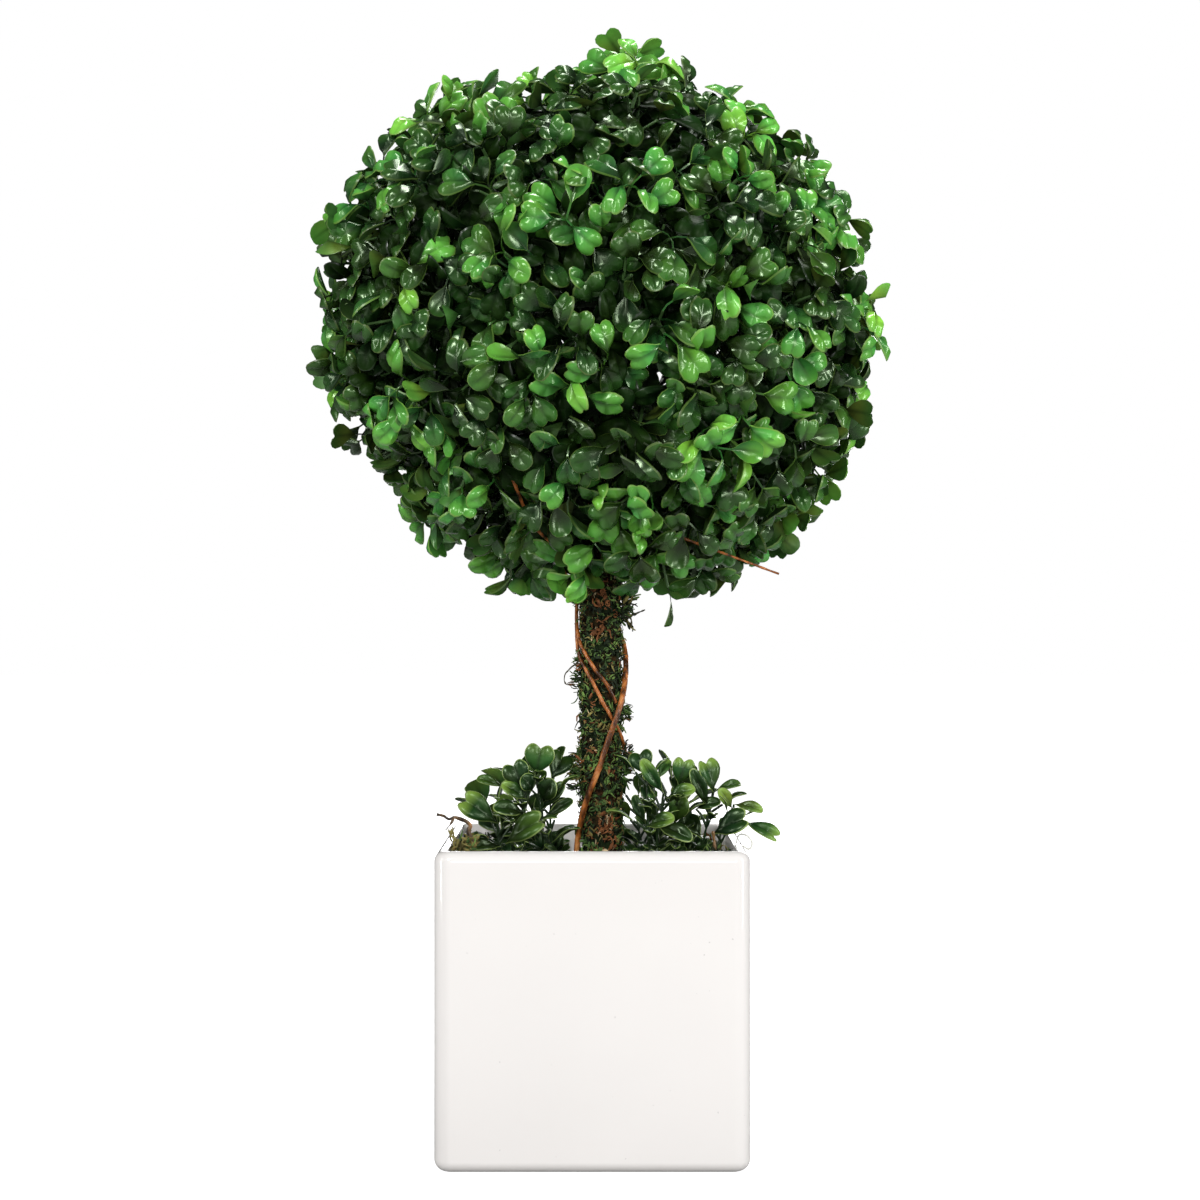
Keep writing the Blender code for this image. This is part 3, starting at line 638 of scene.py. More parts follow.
def near_stem(point, clear):
    """True for a point closer to the stem's surface than the clearance."""
    centre = stem_axis(min(point.z, STEM_HIGH.z))
    return (point - centre).length < stem_radius(point.z) + clear


def beyond_box(point):
    """True for a point that stands out of the box of the ball's solid by more than a little."""
    margin = Vector((BALL_MARGIN, BALL_MARGIN, BALL_MARGIN))
    return any(not a <= part <= b for a, part, b in zip(BALL_LOW - margin, point, BALL_HIGH + margin))


def even_directions(count, rng):
    """Directions spread evenly over a sphere by the golden angle, each a little out of place."""
    golden = math.pi * (3 - math.sqrt(5))
    for index in range(count):
        height = 1 - (2 * index + 1) / count
        ring = math.sqrt(1 - height * height)
        turn = golden * index
        stray = jitter(rng, 0.06)
        yield (Vector((ring * math.cos(turn), ring * math.sin(turn), height)) + stray).normalized()


def side_ways(axis, turn):
    """A direction square to an axis, turned round it."""
    return Matrix.Rotation(turn, 3, axis) @ axis.orthogonal().normalized()


def reach_towards(direction):
    """Reach of the leaf tips in a direction: round towards the front and back, uneven round the sides."""
    stations = len(OUTLINE_REACH)
    clock = math.atan2(direction.z, direction.x) / math.tau * stations
    before = math.floor(clock)
    first, second = (OUTLINE_REACH[(before + step) % stations] for step in (0, 1))
    side = first + (second - first) * (clock - before)
    sideways = clamp((math.hypot(direction.x, direction.z) - 0.55) / 0.35)
    return BALL_RADIUS + (side - BALL_RADIUS) * sideways


class Growth:
    """What has grown so far: leaves by tone and style, sticks, and where the leaves' middles are."""

    def __init__(self, spacing=0.0):
        self.leaves = {}
        self.sticks = []
        self.spacing = spacing
        self.cells = {}

    def cell(self, point):
        return tuple(int(part // self.spacing) for part in point)

    def crowded(self, point):
        """True where another leaf's middle is nearer than the spacing."""
        x, y, z = self.cell(point)
        near = [(x + i, y + j, z + k) for i in (-1, 0, 1) for j in (-1, 0, 1) for k in (-1, 0, 1)]
        others = (other for cell in near for other in self.cells.get(cell, ()))
        return any((point - other).length < self.spacing for other in others)

    def add_leaf(self, tone, style, matrix, middle=None):
        """Adds a leaf, and where its middle is if others have to keep off it."""
        self.leaves.setdefault((tone, style), []).append(matrix)
        if middle is not None:
            self.cells.setdefault(self.cell(middle), []).append(middle)

    def add_stick(self, points, radius):
        """A stem through its points, thinner with each stretch."""
        for low, high in zip(points[:-1], points[1:]):
            self.sticks.append(stick_matrix(low, high, radius))
            radius *= 0.88


def pick(rng, shares):
    """Index picked by its share."""
    left = rng.uniform(0, sum(shares))
    for index, share in enumerate(shares):
        left -= share
        if left <= 0:
            return index
    return len(shares) - 1


# Settings


def length_setting(name, description, default):
    return FloatProperty(name=name, description=description, default=default, unit="LENGTH")


def count_setting(name, description, default):
    return IntProperty(name=name, description=description, default=default, min=0)


def colour_setting(name, description, *default):
    return FloatVectorProperty(name=name, description=description, default=default, subtype="COLOR")


class PotSettings(bpy.types.PropertyGroup):
    wall: length_setting("Wall", "Thickness of the wall", 0.005)
    floor: length_setting("Floor", "Thickness of the floor", 0.007)
    corner: length_setting("Corner", "Radius of the upright edges", 0.0068)
    foot: length_setting("Foot", "Radius round the foot", 0.0046)
    rim: length_setting("Rim", "Radius of the rim outside", 0.0042)
    inner_rim: length_setting("Inner rim", "Radius of the rim inside", 0.0007)
    inner_floor: length_setting("Inner floor", "Radius round the floor inside", 0.003)
    glaze: colour_setting("Glaze", "Colour of the glaze", 0.795, 0.768, 0.748)
    foam: colour_setting("Filling", "Colour of the filling", 0.10, 0.14, 0.07)


class MossSettings(bpy.types.PropertyGroup):
    stem_curls: count_setting("Strands on the stem", "Strands round the stem", 6100)
    bed_curls: count_setting("Strands on the bed", "Strands on the bed", 3000)
    curl_length: length_setting("Strand", "Mean length of a strand", 0.0040)
    dark: colour_setting("Dark", "Strands in the shade", 0.010, 0.020, 0.006)
    green: colour_setting("Green", "Common strands", 0.052, 0.104, 0.024)
    fresh: colour_setting("Fresh", "Fresh strands", 0.125, 0.215, 0.048)
    olive: colour_setting("Olive", "Dry strands", 0.180, 0.155, 0.045)
    brown: colour_setting("Brown", "Brown fibre", 0.215, 0.080, 0.026)
    tan: colour_setting("Tan", "Pale dry tips", 0.520, 0.400, 0.230)


class VineSettings(bpy.types.PropertyGroup):
    stout: length_setting("Stout vine", "Radius of the stout vine", 0.00115)
    thin: length_setting("Thin vines", "Radius of the thin vines", 0.00075)
    bark: colour_setting("Bark", "Colour of the bark", 0.230, 0.071, 0.015)
    fibre: colour_setting("Fibre", "Dry strands over the pot's rim", 0.105, 0.058, 0.022)
    dark: colour_setting("Dark thread", "Dry threads on the stem", 0.045, 0.040, 0.018)
    grey: colour_setting("Grey thread", "Thread over the pot's rim", 0.55, 0.55, 0.50)


class BallSettings(bpy.types.PropertyGroup):
    sprays: count_setting("Sprays", "Sprays round the ball", 200)
    leaf_length: length_setting("Leaf length", "Length of a blade", 0.0138)
    leaf_width: length_setting("Leaf width", "Width of the widest blades", 0.0122)
    stalk: length_setting("Stalk", "Length of a leaf's stalk", 0.0056)
    spacing: length_setting("Spacing", "Least distance between the middles of leaves", 0.0072)
    frame_radius: length_setting("Frame", "Radius of the open frame inside", 0.078)
    # The deep tone is painted shade for the leaves deep inside the ball.
    deep: colour_setting("Deep", "Leaves deep inside", 0.0065, 0.0215, 0.0026)
    dark: colour_setting("Dark", "Dark leaves", 0.0120, 0.0320, 0.0064)
    middle: colour_setting("Middle", "Common leaves", 0.0345, 0.112, 0.0185)
    bright: colour_setting("Bright", "Bright leaves", 0.078, 0.292, 0.038)
    lime: colour_setting("Lime", "Young leaves", 0.155, 0.470, 0.055)
    margin: colour_setting("Margin", "Thin rim of a leaf", 0.215, 0.365, 0.065)
    stem: colour_setting("Stems", "Stems and stalks", 0.050, 0.110, 0.030)


class SprigSettings(bpy.types.PropertyGroup):
    dark: colour_setting("Dark", "Dark leaves", 0.011, 0.030, 0.006)
    middle: colour_setting("Middle", "Common leaves", 0.026, 0.072, 0.012)
    lime: colour_setting("Lime", "Pale leaf tips", 0.230, 0.380, 0.060)
    margin: colour_setting("Margin", "Pale rim of a leaf", 0.250, 0.350, 0.095)
    stem_radius: length_setting("Stem", "Radius of a sprig's stem", 0.00070)


class StageSettings(bpy.types.PropertyGroup):
    distance: length_setting("Distance", "Camera to the plant's axis", 0.9735)
    height: length_setting("Height", "Height of the camera", 0.2185)
    side: length_setting("Side", "Camera's place across", 0.003)
    lens: FloatProperty(name="Lens", description="Focal length", default=72.0, unit="CAMERA")
    floor: colour_setting("Floor", "Colour of the floor", 0.32, 0.32, 0.32)


SETTINGS = {
    "boxwood_pot": PotSettings,
    "boxwood_moss": MossSettings,
    "boxwood_vine": VineSettings,
    "boxwood_ball": BallSettings,
    "boxwood_sprig": SprigSettings,
    "boxwood_stage": StageSettings,
}


# Pot and filling

# What counts as the same height and the same width on the pot, and as an edge between two faces.
LEVEL_TOLERANCE = 1e-6
WIDTH_TOLERANCE = 0.0024
LEAST_BEND = 0.1


def upright_edges(bm):
    """The edges that run from the foot to the top of a fresh block or column."""
    return [edge for edge in bm.edges if abs(edge.verts[0].co.z - edge.verts[1].co.z) > SEAT_GAP]


class BOXWOOD_OT_pot(bpy.types.Operator):
    """Makes the square hollow pot with its white glaze"""

    bl_idname = "boxwood.pot"
    bl_label = "Pot"

    def execute(self, context):
        sizes = context.scene.boxwood_pot
        bm = bmesh.new()
        bmesh.ops.create_cube(bm, size=1.0)
        bmesh.ops.scale(bm, vec=(POT_WIDTH, POT_WIDTH, POT_HEIGHT), verts=bm.verts)
        bmesh.ops.translate(bm, vec=(0, 0, POT_HEIGHT / 2), verts=bm.verts)
        self.round_off(bm, upright_edges(bm), sizes.corner, 14)
        top = max(bm.faces, key=lambda face: face.calc_center_median().z)
        bmesh.ops.inset_individual(bm, faces=[top], thickness=sizes.wall, use_even_offset=True)
        sunk = bmesh.ops.extrude_face_region(bm, geom=[top])["geom"]
        bmesh.ops.delete(bm, geom=[top], context="FACES_ONLY")
        sunk = of_type(sunk, bmesh.types.BMVert)
        bmesh.ops.translate(bm, vec=(0, 0, sizes.floor - POT_HEIGHT), verts=sunk)
        for height, inset, radius, segments in (
            (POT_HEIGHT, 0.0, sizes.rim, 10),
            (POT_HEIGHT, sizes.wall, sizes.inner_rim, 6),
            (0.0, 0.0, sizes.foot, 12),
            (sizes.floor, sizes.wall, sizes.inner_floor, 4),
        ):
            self.round_off(bm, self.level_edges(bm, height, POT_WIDTH / 2 - inset), radius, segments)
        bmesh.ops.recalc_face_normals(bm, faces=bm.faces)
        settle(object_from(bm, "glazed_pot", 35), "glaze", [glaze_finish(sizes.glaze)], "pot")
        return {"FINISHED"}

    @staticmethod
    def round_off(bm, edges, radius, segments):
        bmesh.ops.bevel(
            bm, geom=edges, offset=radius, segments=segments, profile=0.5, affect="EDGES", material=-1
        )

    @staticmethod
    def level_edges(bm, height, half):
        """The edges of the level loop of a height and half width, where two faces meet at an angle."""

        def on_loop(edge):
            level = all(abs(vert.co.z - height) < LEVEL_TOLERANCE for vert in edge.verts)
            width = max(max(abs(vert.co.x), abs(vert.co.y)) for vert in edge.verts)
            return level and abs(width - half) < WIDTH_TOLERANCE and edge.calc_face_angle(0.0) > LEAST_BEND

        return [edge for edge in bm.edges if on_loop(edge)]


class BOXWOOD_OT_filling(bpy.types.Operator):
    """Gives the filling under the moss its foam finish"""

    bl_idname = "boxwood.filling"
    bl_label = "Filling"

    def execute(self, context):
        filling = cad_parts["filling"]
        filling.data.materials.clear()
        filling.data.materials.append(foam_finish(context.scene.boxwood_pot.foam))
        return {"FINISHED"}


# Moss

MOSS_TONES = ("dark", "green", "fresh", "olive", "brown", "tan")
MOSS_LOW = 0.1045
MOSS_RELIEF = 0.0055
MOSS_CELLS = 74
# Lumps and grain of the moss in the pot, in cells a metre, and how deep its strands are set.
MOSS_LUMPS = 55
MOSS_GRAIN = 240
STRAND_SINK = 0.0006
STEM_SIDES = 54
STEM_CUTS = 190
# How far the clumps of moss on the stem stand out of its surface, their two sizes in cells a metre with
# their shares, and the height of the surface's grain.
CLUMP_RELIEF = 0.0017
CLUMPS = ((230, 0.75), (560, 0.35))
GRAIN_RELIEF = 0.0004
# Shares of the tones on a brown patch and in a tuft of the stem.
PATCH_SHARES = (0.10, 0.0, 0.0, 0.12, 0.68, 0.10)
TUFT_SHARES = (0.36, 0.32, 0.10, 0.12, 0.09, 0.01)
# The four strands that all moss is made of: turns, lift and whether they fork.
CURLS = ((0.55, 0.30, False), (-0.80, 0.45, False), (0.35, 0.20, True), (-0.45, 0.35, True))
# Brown patches on the stem: angle round the stem in degrees (-90 is the front), height and size.
BROWN_PATCHES = (
    (-88, 0.2190, 0.0050),
    (-84, 0.1285, 0.0060),
    (-70, 0.1190, 0.0055),
    (-115, 0.1580, 0.0020),
    (-100, 0.2070, 0.0045),
    (-105, 0.1780, 0.0040),
    (-100, 0.1265, 0.0050),
    (-60, 0.1130, 0.0050),
    (60, 0.2080, 0.0060),
    (130, 0.1600, 0.0060),
    (20, 0.1350, 0.0050),
    (160, 0.1950, 0.0050),
    (90, 0.1250, 0.0050),
)
# Tufts that stand out of the stem: angle, height, how far they stand out, spread and number of strands.
STEM_TUFTS = (
    (-15, 0.2150, 0.0085, 0.0060, 44),
    (-165, 0.1935, 0.0050, 0.0050, 26),
    (-10, 0.1735, 0.0060, 0.0040, 34),
    (-168, 0.1495, 0.0068, 0.0075, 60),
    (-8, 0.1520, 0.0078, 0.0090, 70),
    (60, 0.1900, 0.0060, 0.0060, 24),
    (120, 0.1450, 0.0065, 0.0070, 30),
    (95, 0.2200, 0.0060, 0.0060, 20),
    (-178, 0.2190, 0.0045, 0.0040, 14),
    (-172, 0.1860, 0.0055, 0.0040, 24),
)
# Tufts in the pot's corners: foot and height in millimetres, number of strands and tone.
TUFT_SPREAD = (0.0042, 0.0060, 0.001)
TUFT_LENGTHS = (0.0028, 0.0055)
CORNER_TUFTS = (
    ((-50.5, -38, 109), 21, 260, "olive"),
    ((50.0, -35, 108), 16, 170, "dark"),
    ((47.0, 40, 108), 13, 90, "green"),
    ((-48.0, 41, 108), 12, 80, "dark"),
)


def moss_bed_height(x, y):
    """Height of the moss: lumps of two sizes that rise towards the wall."""
    edge = clamp(max(abs(x), abs(y)) / (POT_WIDTH / 2))
    broad = 0.5 + 0.5 * noise.noise(Vector((x, y, 0.3)) * MOSS_LUMPS)
    fine = 0.5 + 0.5 * noise.noise(Vector((x, y, 1.7)) * MOSS_GRAIN)
    return MOSS_LOW + MOSS_RELIEF * (0.25 + 0.55 * broad * (0.6 + 0.6 * edge**3) + 0.3 * fine)


def add_curl(curls, rng, foot, normal, tone, length, stand):
    """Lays a strand on a surface: it follows the surface and lifts a little off it."""
    along = side_ways(normal, rng.uniform(0, math.tau)) + normal * rng.uniform(-0.15, stand)
    upper = normal + jitter(rng, 0.4)
    thick = length * rng.uniform(0.65, 1.15)
    keep_curl(curls, rng, tone, laid_matrix(foot, along, upper, (thick, length, thick)))


def add_tuft_curl(curls, rng, foot, along, tone, lengths, thickness):
    """Adds a strand of a tuft, turned any way round its own direction."""
    upper = jitter(rng, 1.0)
    length = rng.uniform(*lengths)
    thick = length * thickness
    keep_curl(curls, rng, tone, laid_matrix(foot, along, upper, (thick, length, thick)))


def keep_curl(curls, rng, tone, matrix):
    curls.setdefault((tone, rng.randrange(len(CURLS))), []).append(matrix)


def settle_strands(name, curls, look, prefix, slot, node):
    """Makes one dressed mesh of all the strands of a node's moss, a finish for each tone."""
    shapes = [curl_shape(*curl) for curl in CURLS]
    batches = [
        (shapes[style], matrices, MOSS_TONES.index(tone)) for (tone, style), matrices in sorted(curls.items())
    ]
    finishes = [strand_finish(prefix + tone, getattr(look, tone)) for tone in MOSS_TONES]
    settle(stamped(name, batches, 80), slot, finishes, node)


def stem_tone(rng, angle, height, clump):
    """Tone of a strand on the stem: brown on its patches, else paler on the clumps and darker between them,
    as painted light and shade.
    """
    for patch_angle, patch_height, size in BROWN_PATCHES:
        across = math.radians((angle - patch_angle + 180) % 360 - 180) * STEM_RADIUS
        if math.hypot(across, height - patch_height) < size * rng.uniform(0.6, 1.1):
            return MOSS_TONES[pick(rng, PATCH_SHARES)]
    drift = noise.noise(Vector((angle / 40, height * 60, 0.5)))
    # Painted light and shade: more fresh strands on the raised clumps, more dark ones in the hollows between
    # them.
    light = clamp(0.4 * drift + 1.3 * clump, -0.6, 0.6)
    return MOSS_TONES[pick(rng, (0.42 - 0.6 * light, 0.29, 0.17 + 0.26 * light, 0.12, 0.045, 0.015))]


def stem_clump(angle, height):
    """How far the moss swells at a place on the stem, from about -0.6 between its clumps to 0.6 on them."""
    turn = math.radians(angle)
    place = Vector((STEM_RADIUS * math.cos(turn), STEM_RADIUS * math.sin(turn), height))
    return sum(share * noise.noise(place * scale) for scale, share in CLUMPS)


def out_of_stem(angle):
    """The level direction out of the stem at an angle in degrees."""
    turn = math.radians(angle)
    return Vector((math.cos(turn), math.sin(turn), 0))


class BOXWOOD_OT_moss_bed(bpy.types.Operator):
    """Makes the moss in the pot: its lumpy surface, its strands and the tufts in the corners"""

    bl_idname = "boxwood.moss_bed"
    bl_label = "Moss bed"

    def execute(self, context):
        look = context.scene.boxwood_moss
        half = POT_WIDTH / 2 - context.scene.boxwood_pot.wall - SEAT_GAP
        bm = bmesh.new()
        bmesh.ops.create_grid(bm, x_segments=MOSS_CELLS, y_segments=MOSS_CELLS, size=half)
        for vert in bm.verts:
            vert.co.z = moss_bed_height(vert.co.x, vert.co.y)
        rim, skirt = next_ring(bm, [edge for edge in bm.edges if edge.is_boundary])
        for vert in skirt:
            vert.co.z = FILL_TOP + SEAT_GAP
        bmesh.ops.contextual_create(bm, geom=rim)
        bmesh.ops.recalc_face_normals(bm, faces=bm.faces)
        surface = object_from(bm, "moss_surface", 60)
        settle(surface, "moss", [ground_moss_finish("matted moss", look.green, look.brown)], "moss_bed")
        settle_strands("moss_strands", self.curls(look, half), look, "moss ", "moss", "moss_bed")
        return {"FINISHED"}

    @staticmethod
    def curls(look, half):
        rng = random.Random(21)
        curls = {}
        for _ in range(look.bed_curls):
            x, y = rng.uniform(-half, half) * 0.97, rng.uniform(-half, half) * 0.97
            drift = noise.noise(Vector((x * 50, y * 50, 4.0)))
            tone = MOSS_TONES[pick(rng, (0.42 - 0.3 * drift, 0.34, 0.08, 0.10 + 0.2 * drift, 0.05, 0.01))]
            foot = Vector((x, y, moss_bed_height(x, y) - STRAND_SINK))
            add_curl(curls, rng, foot, Vector((0, 0, 1)), tone, look.curl_length * rng.uniform(0.7, 1.4), 0.6)
        for place, tall, count, tone in CORNER_TUFTS:
            middle = Vector(place) * MM
            inwards = Vector((-middle.x, -middle.y, 0)).normalized()
            for _ in range(count):
                foot = middle + scattered(rng, TUFT_SPREAD)
                foot += Vector((0, 0, rng.uniform(0, 0.75) * tall * MM))
                along = Vector((0, 0, 0.6)) + jitter(rng, 1.0) + inwards * 0.2
                chosen = tone if rng.random() < 0.7 else MOSS_TONES[rng.randrange(5)]
                add_tuft_curl(curls, rng, foot, along, chosen, TUFT_LENGTHS, 0.8)
        return curls


class BOXWOOD_OT_stem(bpy.types.Operator):
    """Makes the stem: its wrapped surface and the strands and tufts of moss on it"""

    bl_idname = "boxwood.stem"
    bl_label = "Stem"

    def execute(self, context):
        look = context.scene.boxwood_moss
        low, high = STEM_LOW.z, STEM_HIGH.z
        bm = bmesh.new()
        bmesh.ops.create_cone(
            bm, cap_ends=True, segments=STEM_SIDES, radius1=1.0, radius2=1.0, depth=high - low
        )
        bmesh.ops.subdivide_edges(bm, edges=upright_edges(bm), cuts=STEM_CUTS, use_grid_fill=True)
        for vert in bm.verts:
            height = vert.co.z + (low + high) / 2
            around = Vector((vert.co.x, vert.co.y, 0))
            grain = noise.noise(Vector((around.x * 11, around.y * 11, height * 1100)))
            clump = stem_clump(math.degrees(math.atan2(around.y, around.x)), height)
            relief = CLUMP_RELIEF * clump + GRAIN_RELIEF * grain
            vert.co = stem_axis(height) + around * (stem_radius(height) - STEM_SURFACE_DEPTH + relief)
        surface = object_from(bm, "stem_surface", 60)
        settle(surface, "mossy_stem", [ground_moss_finish("wrapped moss", look.green, look.brown)], "stem")
        settle_strands("stem_strands", self.curls(look), look, "stem moss ", "mossy_stem", "stem")
        return {"FINISHED"}

    @staticmethod
    def curls(look):
        rng = random.Random(22)
        curls = {}
        laid = 0
        while laid < look.stem_curls:
            angle = rng.uniform(-180, 180)
            height = rng.uniform(MOSS_LOW, BALL_CENTRE.z - 0.055)
            clump = stem_clump(angle, height)
            if clump < rng.uniform(-0.5, -0.05):
                continue
            laid += 1
            normal = out_of_stem(angle)
            out = stem_radius(height) - STEM_SURFACE_DEPTH + CLUMP_RELIEF * clump
            tone = stem_tone(rng, angle, height, clump)
            short = rng.random() < 0.8
            length = look.curl_length * (rng.uniform(0.30, 0.70) if short else rng.uniform(0.7, 1.15))
            stand = 0.30 if rng.random() < 0.85 else 0.9
            add_curl(curls, rng, stem_axis(height) + normal * out, normal, tone, length, stand)
        for angle, height, out, spread, count in STEM_TUFTS:
            normal = out_of_stem(angle)
            for _ in range(count):
                place = height + rng.gauss(0, 0.4) * spread
                away = rng.uniform(0.0, 0.35) * out
                foot = stem_axis(place) + normal * (stem_radius(place) - STEM_SURFACE_DEPTH + away)
                foot += normal.cross(Vector((0, 0, 1))) * rng.gauss(0, 0.3) * spread
                along = normal * 0.9 + jitter(rng, 0.8)
                tone = MOSS_TONES[pick(rng, TUFT_SHARES)]
                add_tuft_curl(curls, rng, foot, along, tone, (out * 0.45, out * 0.75), 0.75)
        return curls


# Vines

# Routes as angle round the stem in degrees (-90 is the front) against height, as in the frame's solids.
VINE_STOUT_ROUTE = (
    *((-168, 0.1160), (-153, 0.1240), (-124, 0.1385), (-95, 0.1507), (-71, 0.1642), (-50, 0.1766)),
    *((-25, 0.1855), (2, 0.1935), (30, 0.2020), (70, 0.2105), (105, 0.2200), (130, 0.2290)),
)
VINE_LOWER_ROUTE = (
    *((-180, 0.2085), (-168, 0.2010), (-150, 0.1955), (-128, 0.1905), (-106, 0.1844), (-85, 0.1773)),
    *((-67, 0.1722), (-46, 0.1668), (-22, 0.1610), (8, 0.1560), (50, 0.1525)),
)
VINE_UPPER_ROUTE = (
    *((-200, 0.2262), (-188, 0.2175), (-174, 0.2095), (-152, 0.2022), (-127, 0.1964), (-101, 0.1900)),
    *((-76, 0.1846), (-52, 0.1772)),
)
VINE_CROSSING = 0.1735
VINE_CROSSING_LENGTH = 0.0100
VINE_SIDES = 10
# Relief of a vine's bark as a share of its radius, and its cells a metre.
BARK_SHARE = 0.14
BARK_CELLS = 420
# Loose ends of vine round the foot of the ball, in millimetres: radius and points.
LOOSE_VINES = (
    (0.62, (10, -42, 252), (41, -46, 240.2), (71.9, -50, 228.5)),
    (0.70, (-30, -60, 264), (-23, -50, 248), (-13, -35, 239), (2, -18, 233), (10, -8, 238)),
    (0.70, (-18, -14, 240), (-12, -8, 231), (-8.5, -4, 225.5), (-6.6, -1, 220), (-6.4, 1, 211)),
)
# A thin brown strand that leans out over the rim, its side twig, and a stub across from it.
RIM_STRANDS = (
    (
        1.10,
        *((-46.5, -36, 109), (-46.6, -36, 122), (-48.4, -36, 128.1), (-47.6, -36, 130.1)),
        *((-49, -36, 131.8), (-51.7, -36, 133.1), (-54, -37, 133.8), (-55.9, -37, 133)),
        *((-58.1, -37, 134.3), (-60.6, -37, 134.9)),
    ),
    (0.55, (-54, -37, 133.7), (-55.2, -38, 131.2), (-57.2, -38, 128.8)),
    (1.20, (47, -34, 109), (47.8, -35, 121), (47.2, -36, 128)),
)
GREY_THREADS = (
    (
        0.35,
        *((55.5, -36, 118), (56.8, -37, 126.2), (60, -38, 126.8)),
        *((62.2, -39, 124), (61, -39, 121.5), (58.5, -38, 122.8)),
    ),
)
# Thin dry threads that stand out of the stem's moss.
STEM_THREADS = (
    (
        0.38,
        *((-4.8, -5, 194.5), (-8, -6.5, 191.8), (-10.8, -6.5, 189)),
        *((-11.4, -6.5, 186), (-10.3, -6.5, 184.4), (-8.8, -6.5, 185)),
    ),
    (0.55, (10.5, -3, 213.8), (15.2, -4, 212.4), (21.2, -5, 214.5)),
    (0.50, (10.5, -3, 212.8), (15.2, -5, 211.2), (15.7, -5, 207.4)),
    (0.50, (10.5, -2, 214), (14.8, -3, 216.2), (16.4, -4, 220.2)),
)


def vine_points(route, radius, lifted, count=150):
    """Centre line of a vine on the stem, lifted over the thin vines where it crosses them."""
    found = []
    for angle, height in eased(route, count):
        crossing = math.exp(-(((height - VINE_CROSSING) / VINE_CROSSING_LENGTH) ** 2))
        out = stem_radius(height) + SEAT_GAP + radius + lifted * crossing
        found.append(stem_axis(height) + out_of_stem(angle) * out)
    return found


def tube(bm, points, radius, sides=VINE_SIDES, taper=1.0):
    """A closed tube along its points: each ring is the last one, moved and turned to the next bend."""
    way = (points[1] - points[0]).normalized()
    turn = way.to_track_quat("Z", "Y").to_matrix().to_4x4()
    edges = first_ring(bm, sides, radius, Matrix.Translation(points[0]) @ turn)
    last = len(points) - 1
    shrink = Matrix.Scale(taper ** (1 / last), 4)
    for index in range(1, last + 1):
        onward = (points[min(index + 1, last)] - points[index - 1]).normalized()
        bend = way.rotation_difference(onward).to_matrix().to_4x4()
        back, ahead = Matrix.Translation(-points[index - 1]), Matrix.Translation(points[index])
        edges, ring = next_ring(bm, edges)
        bmesh.ops.transform(bm, matrix=ahead @ bend @ shrink @ back, verts=ring)
        way = onward
    bmesh.ops.contextual_create(bm, geom=edges)


def roughen(bm, amount, scale):
    """Bark relief: every point moves in or out with noise."""
    bmesh.ops.recalc_face_normals(bm, faces=bm.faces)
    bm.normal_update()
    for vert in bm.verts:
        vert.co += vert.normal * amount * noise.noise(vert.co * scale)


class BOXWOOD_OT_vines(bpy.types.Operator):
    """Makes the three vines on the stem, the loose vine ends and the strands over the rim"""

    bl_idname = "boxwood.vines"
    bl_label = "Vines"

    def execute(self, context):
        look = context.scene.boxwood_vine
        lift = 2 * look.thin + 3 * SEAT_GAP
        bark = bark_finish("vine bark", look.bark)
        for node, route, radius, lifted in (
            ("vine_stout", VINE_STOUT_ROUTE, look.stout, lift),
            ("vine_thin_lower", VINE_LOWER_ROUTE, look.thin, 0.0),
            ("vine_thin_upper", VINE_UPPER_ROUTE, look.thin, 0.0),
        ):
            bm = bmesh.new()
            tube(bm, vine_points(route, radius, lifted), radius)
            roughen(bm, radius * BARK_SHARE, BARK_CELLS)
            settle(object_from(bm, node + "_bark", 60), "vine_bark", [bark], node)
        fibre = bark_finish("dry fibre", look.fibre)
        dark = plain_finish("dark thread", look.dark, 0.7)
        grey = plain_finish("grey thread", look.grey, 0.6)
        # Points along a line, sides, taper, height and cells a metre of the relief, slot, finish and node.
        for name, lines, steps, sides, taper, rough, cells, slot, finish, node in (
            ("loose_vines", LOOSE_VINES, 30, 7, 0.7, 0.00015, 500, "vine_bark", bark, "foliage_ball"),
            ("rim_strands", RIM_STRANDS, 40, 7, 0.45, 0.0003, 600, "moss", fibre, "moss_bed"),
            ("stem_threads", STEM_THREADS, 24, 6, 0.55, 0.0003, 900, "mossy_stem", dark, "stem"),
            ("rim_thread", GREY_THREADS, 40, 6, 1.0, 0.0, 1, "moss", grey, "moss_bed"),
        ):
            bm = bmesh.new()
            for radius, *points in lines:
                tube(bm, line_through(points, steps), radius * MM, sides, taper)
            roughen(bm, rough, cells)
            settle(object_from(bm, name, 60), slot, [finish], node)
        return {"FINISHED"}


# Foliage of the ball

BALL_TONES = ("deep", "dark", "middle", "bright", "lime")
LEAVES_A_PIECE = 1750
# How far a leaf's rim goes from the leaf's colour to the pale margin's.
RIM_PALENESS = {"deep": 0.0, "dark": 0.24, "middle": 0.38, "bright": 0.55, "lime": 0.65}
# Shares of the tones in the pairs of a dark, common, bright and young spray.
SPRAY_MIXTURES = (
    (0.0, 0.84, 0.15, 0.01, 0.00),
    (0.0, 0.42, 0.42, 0.14, 0.02),
    (0.0, 0.14, 0.28, 0.48, 0.10),
    (0.0, 0.10, 0.14, 0.44, 0.32),
)
# Leaves further inside the outline than these depths get painted shade: a step darker, then as dark as the
# depths in the deep tone; past the last they are left out.
SHADED_DEPTH = 0.0130
DEEP_DEPTH = 0.0190
DEEPEST = 0.0310
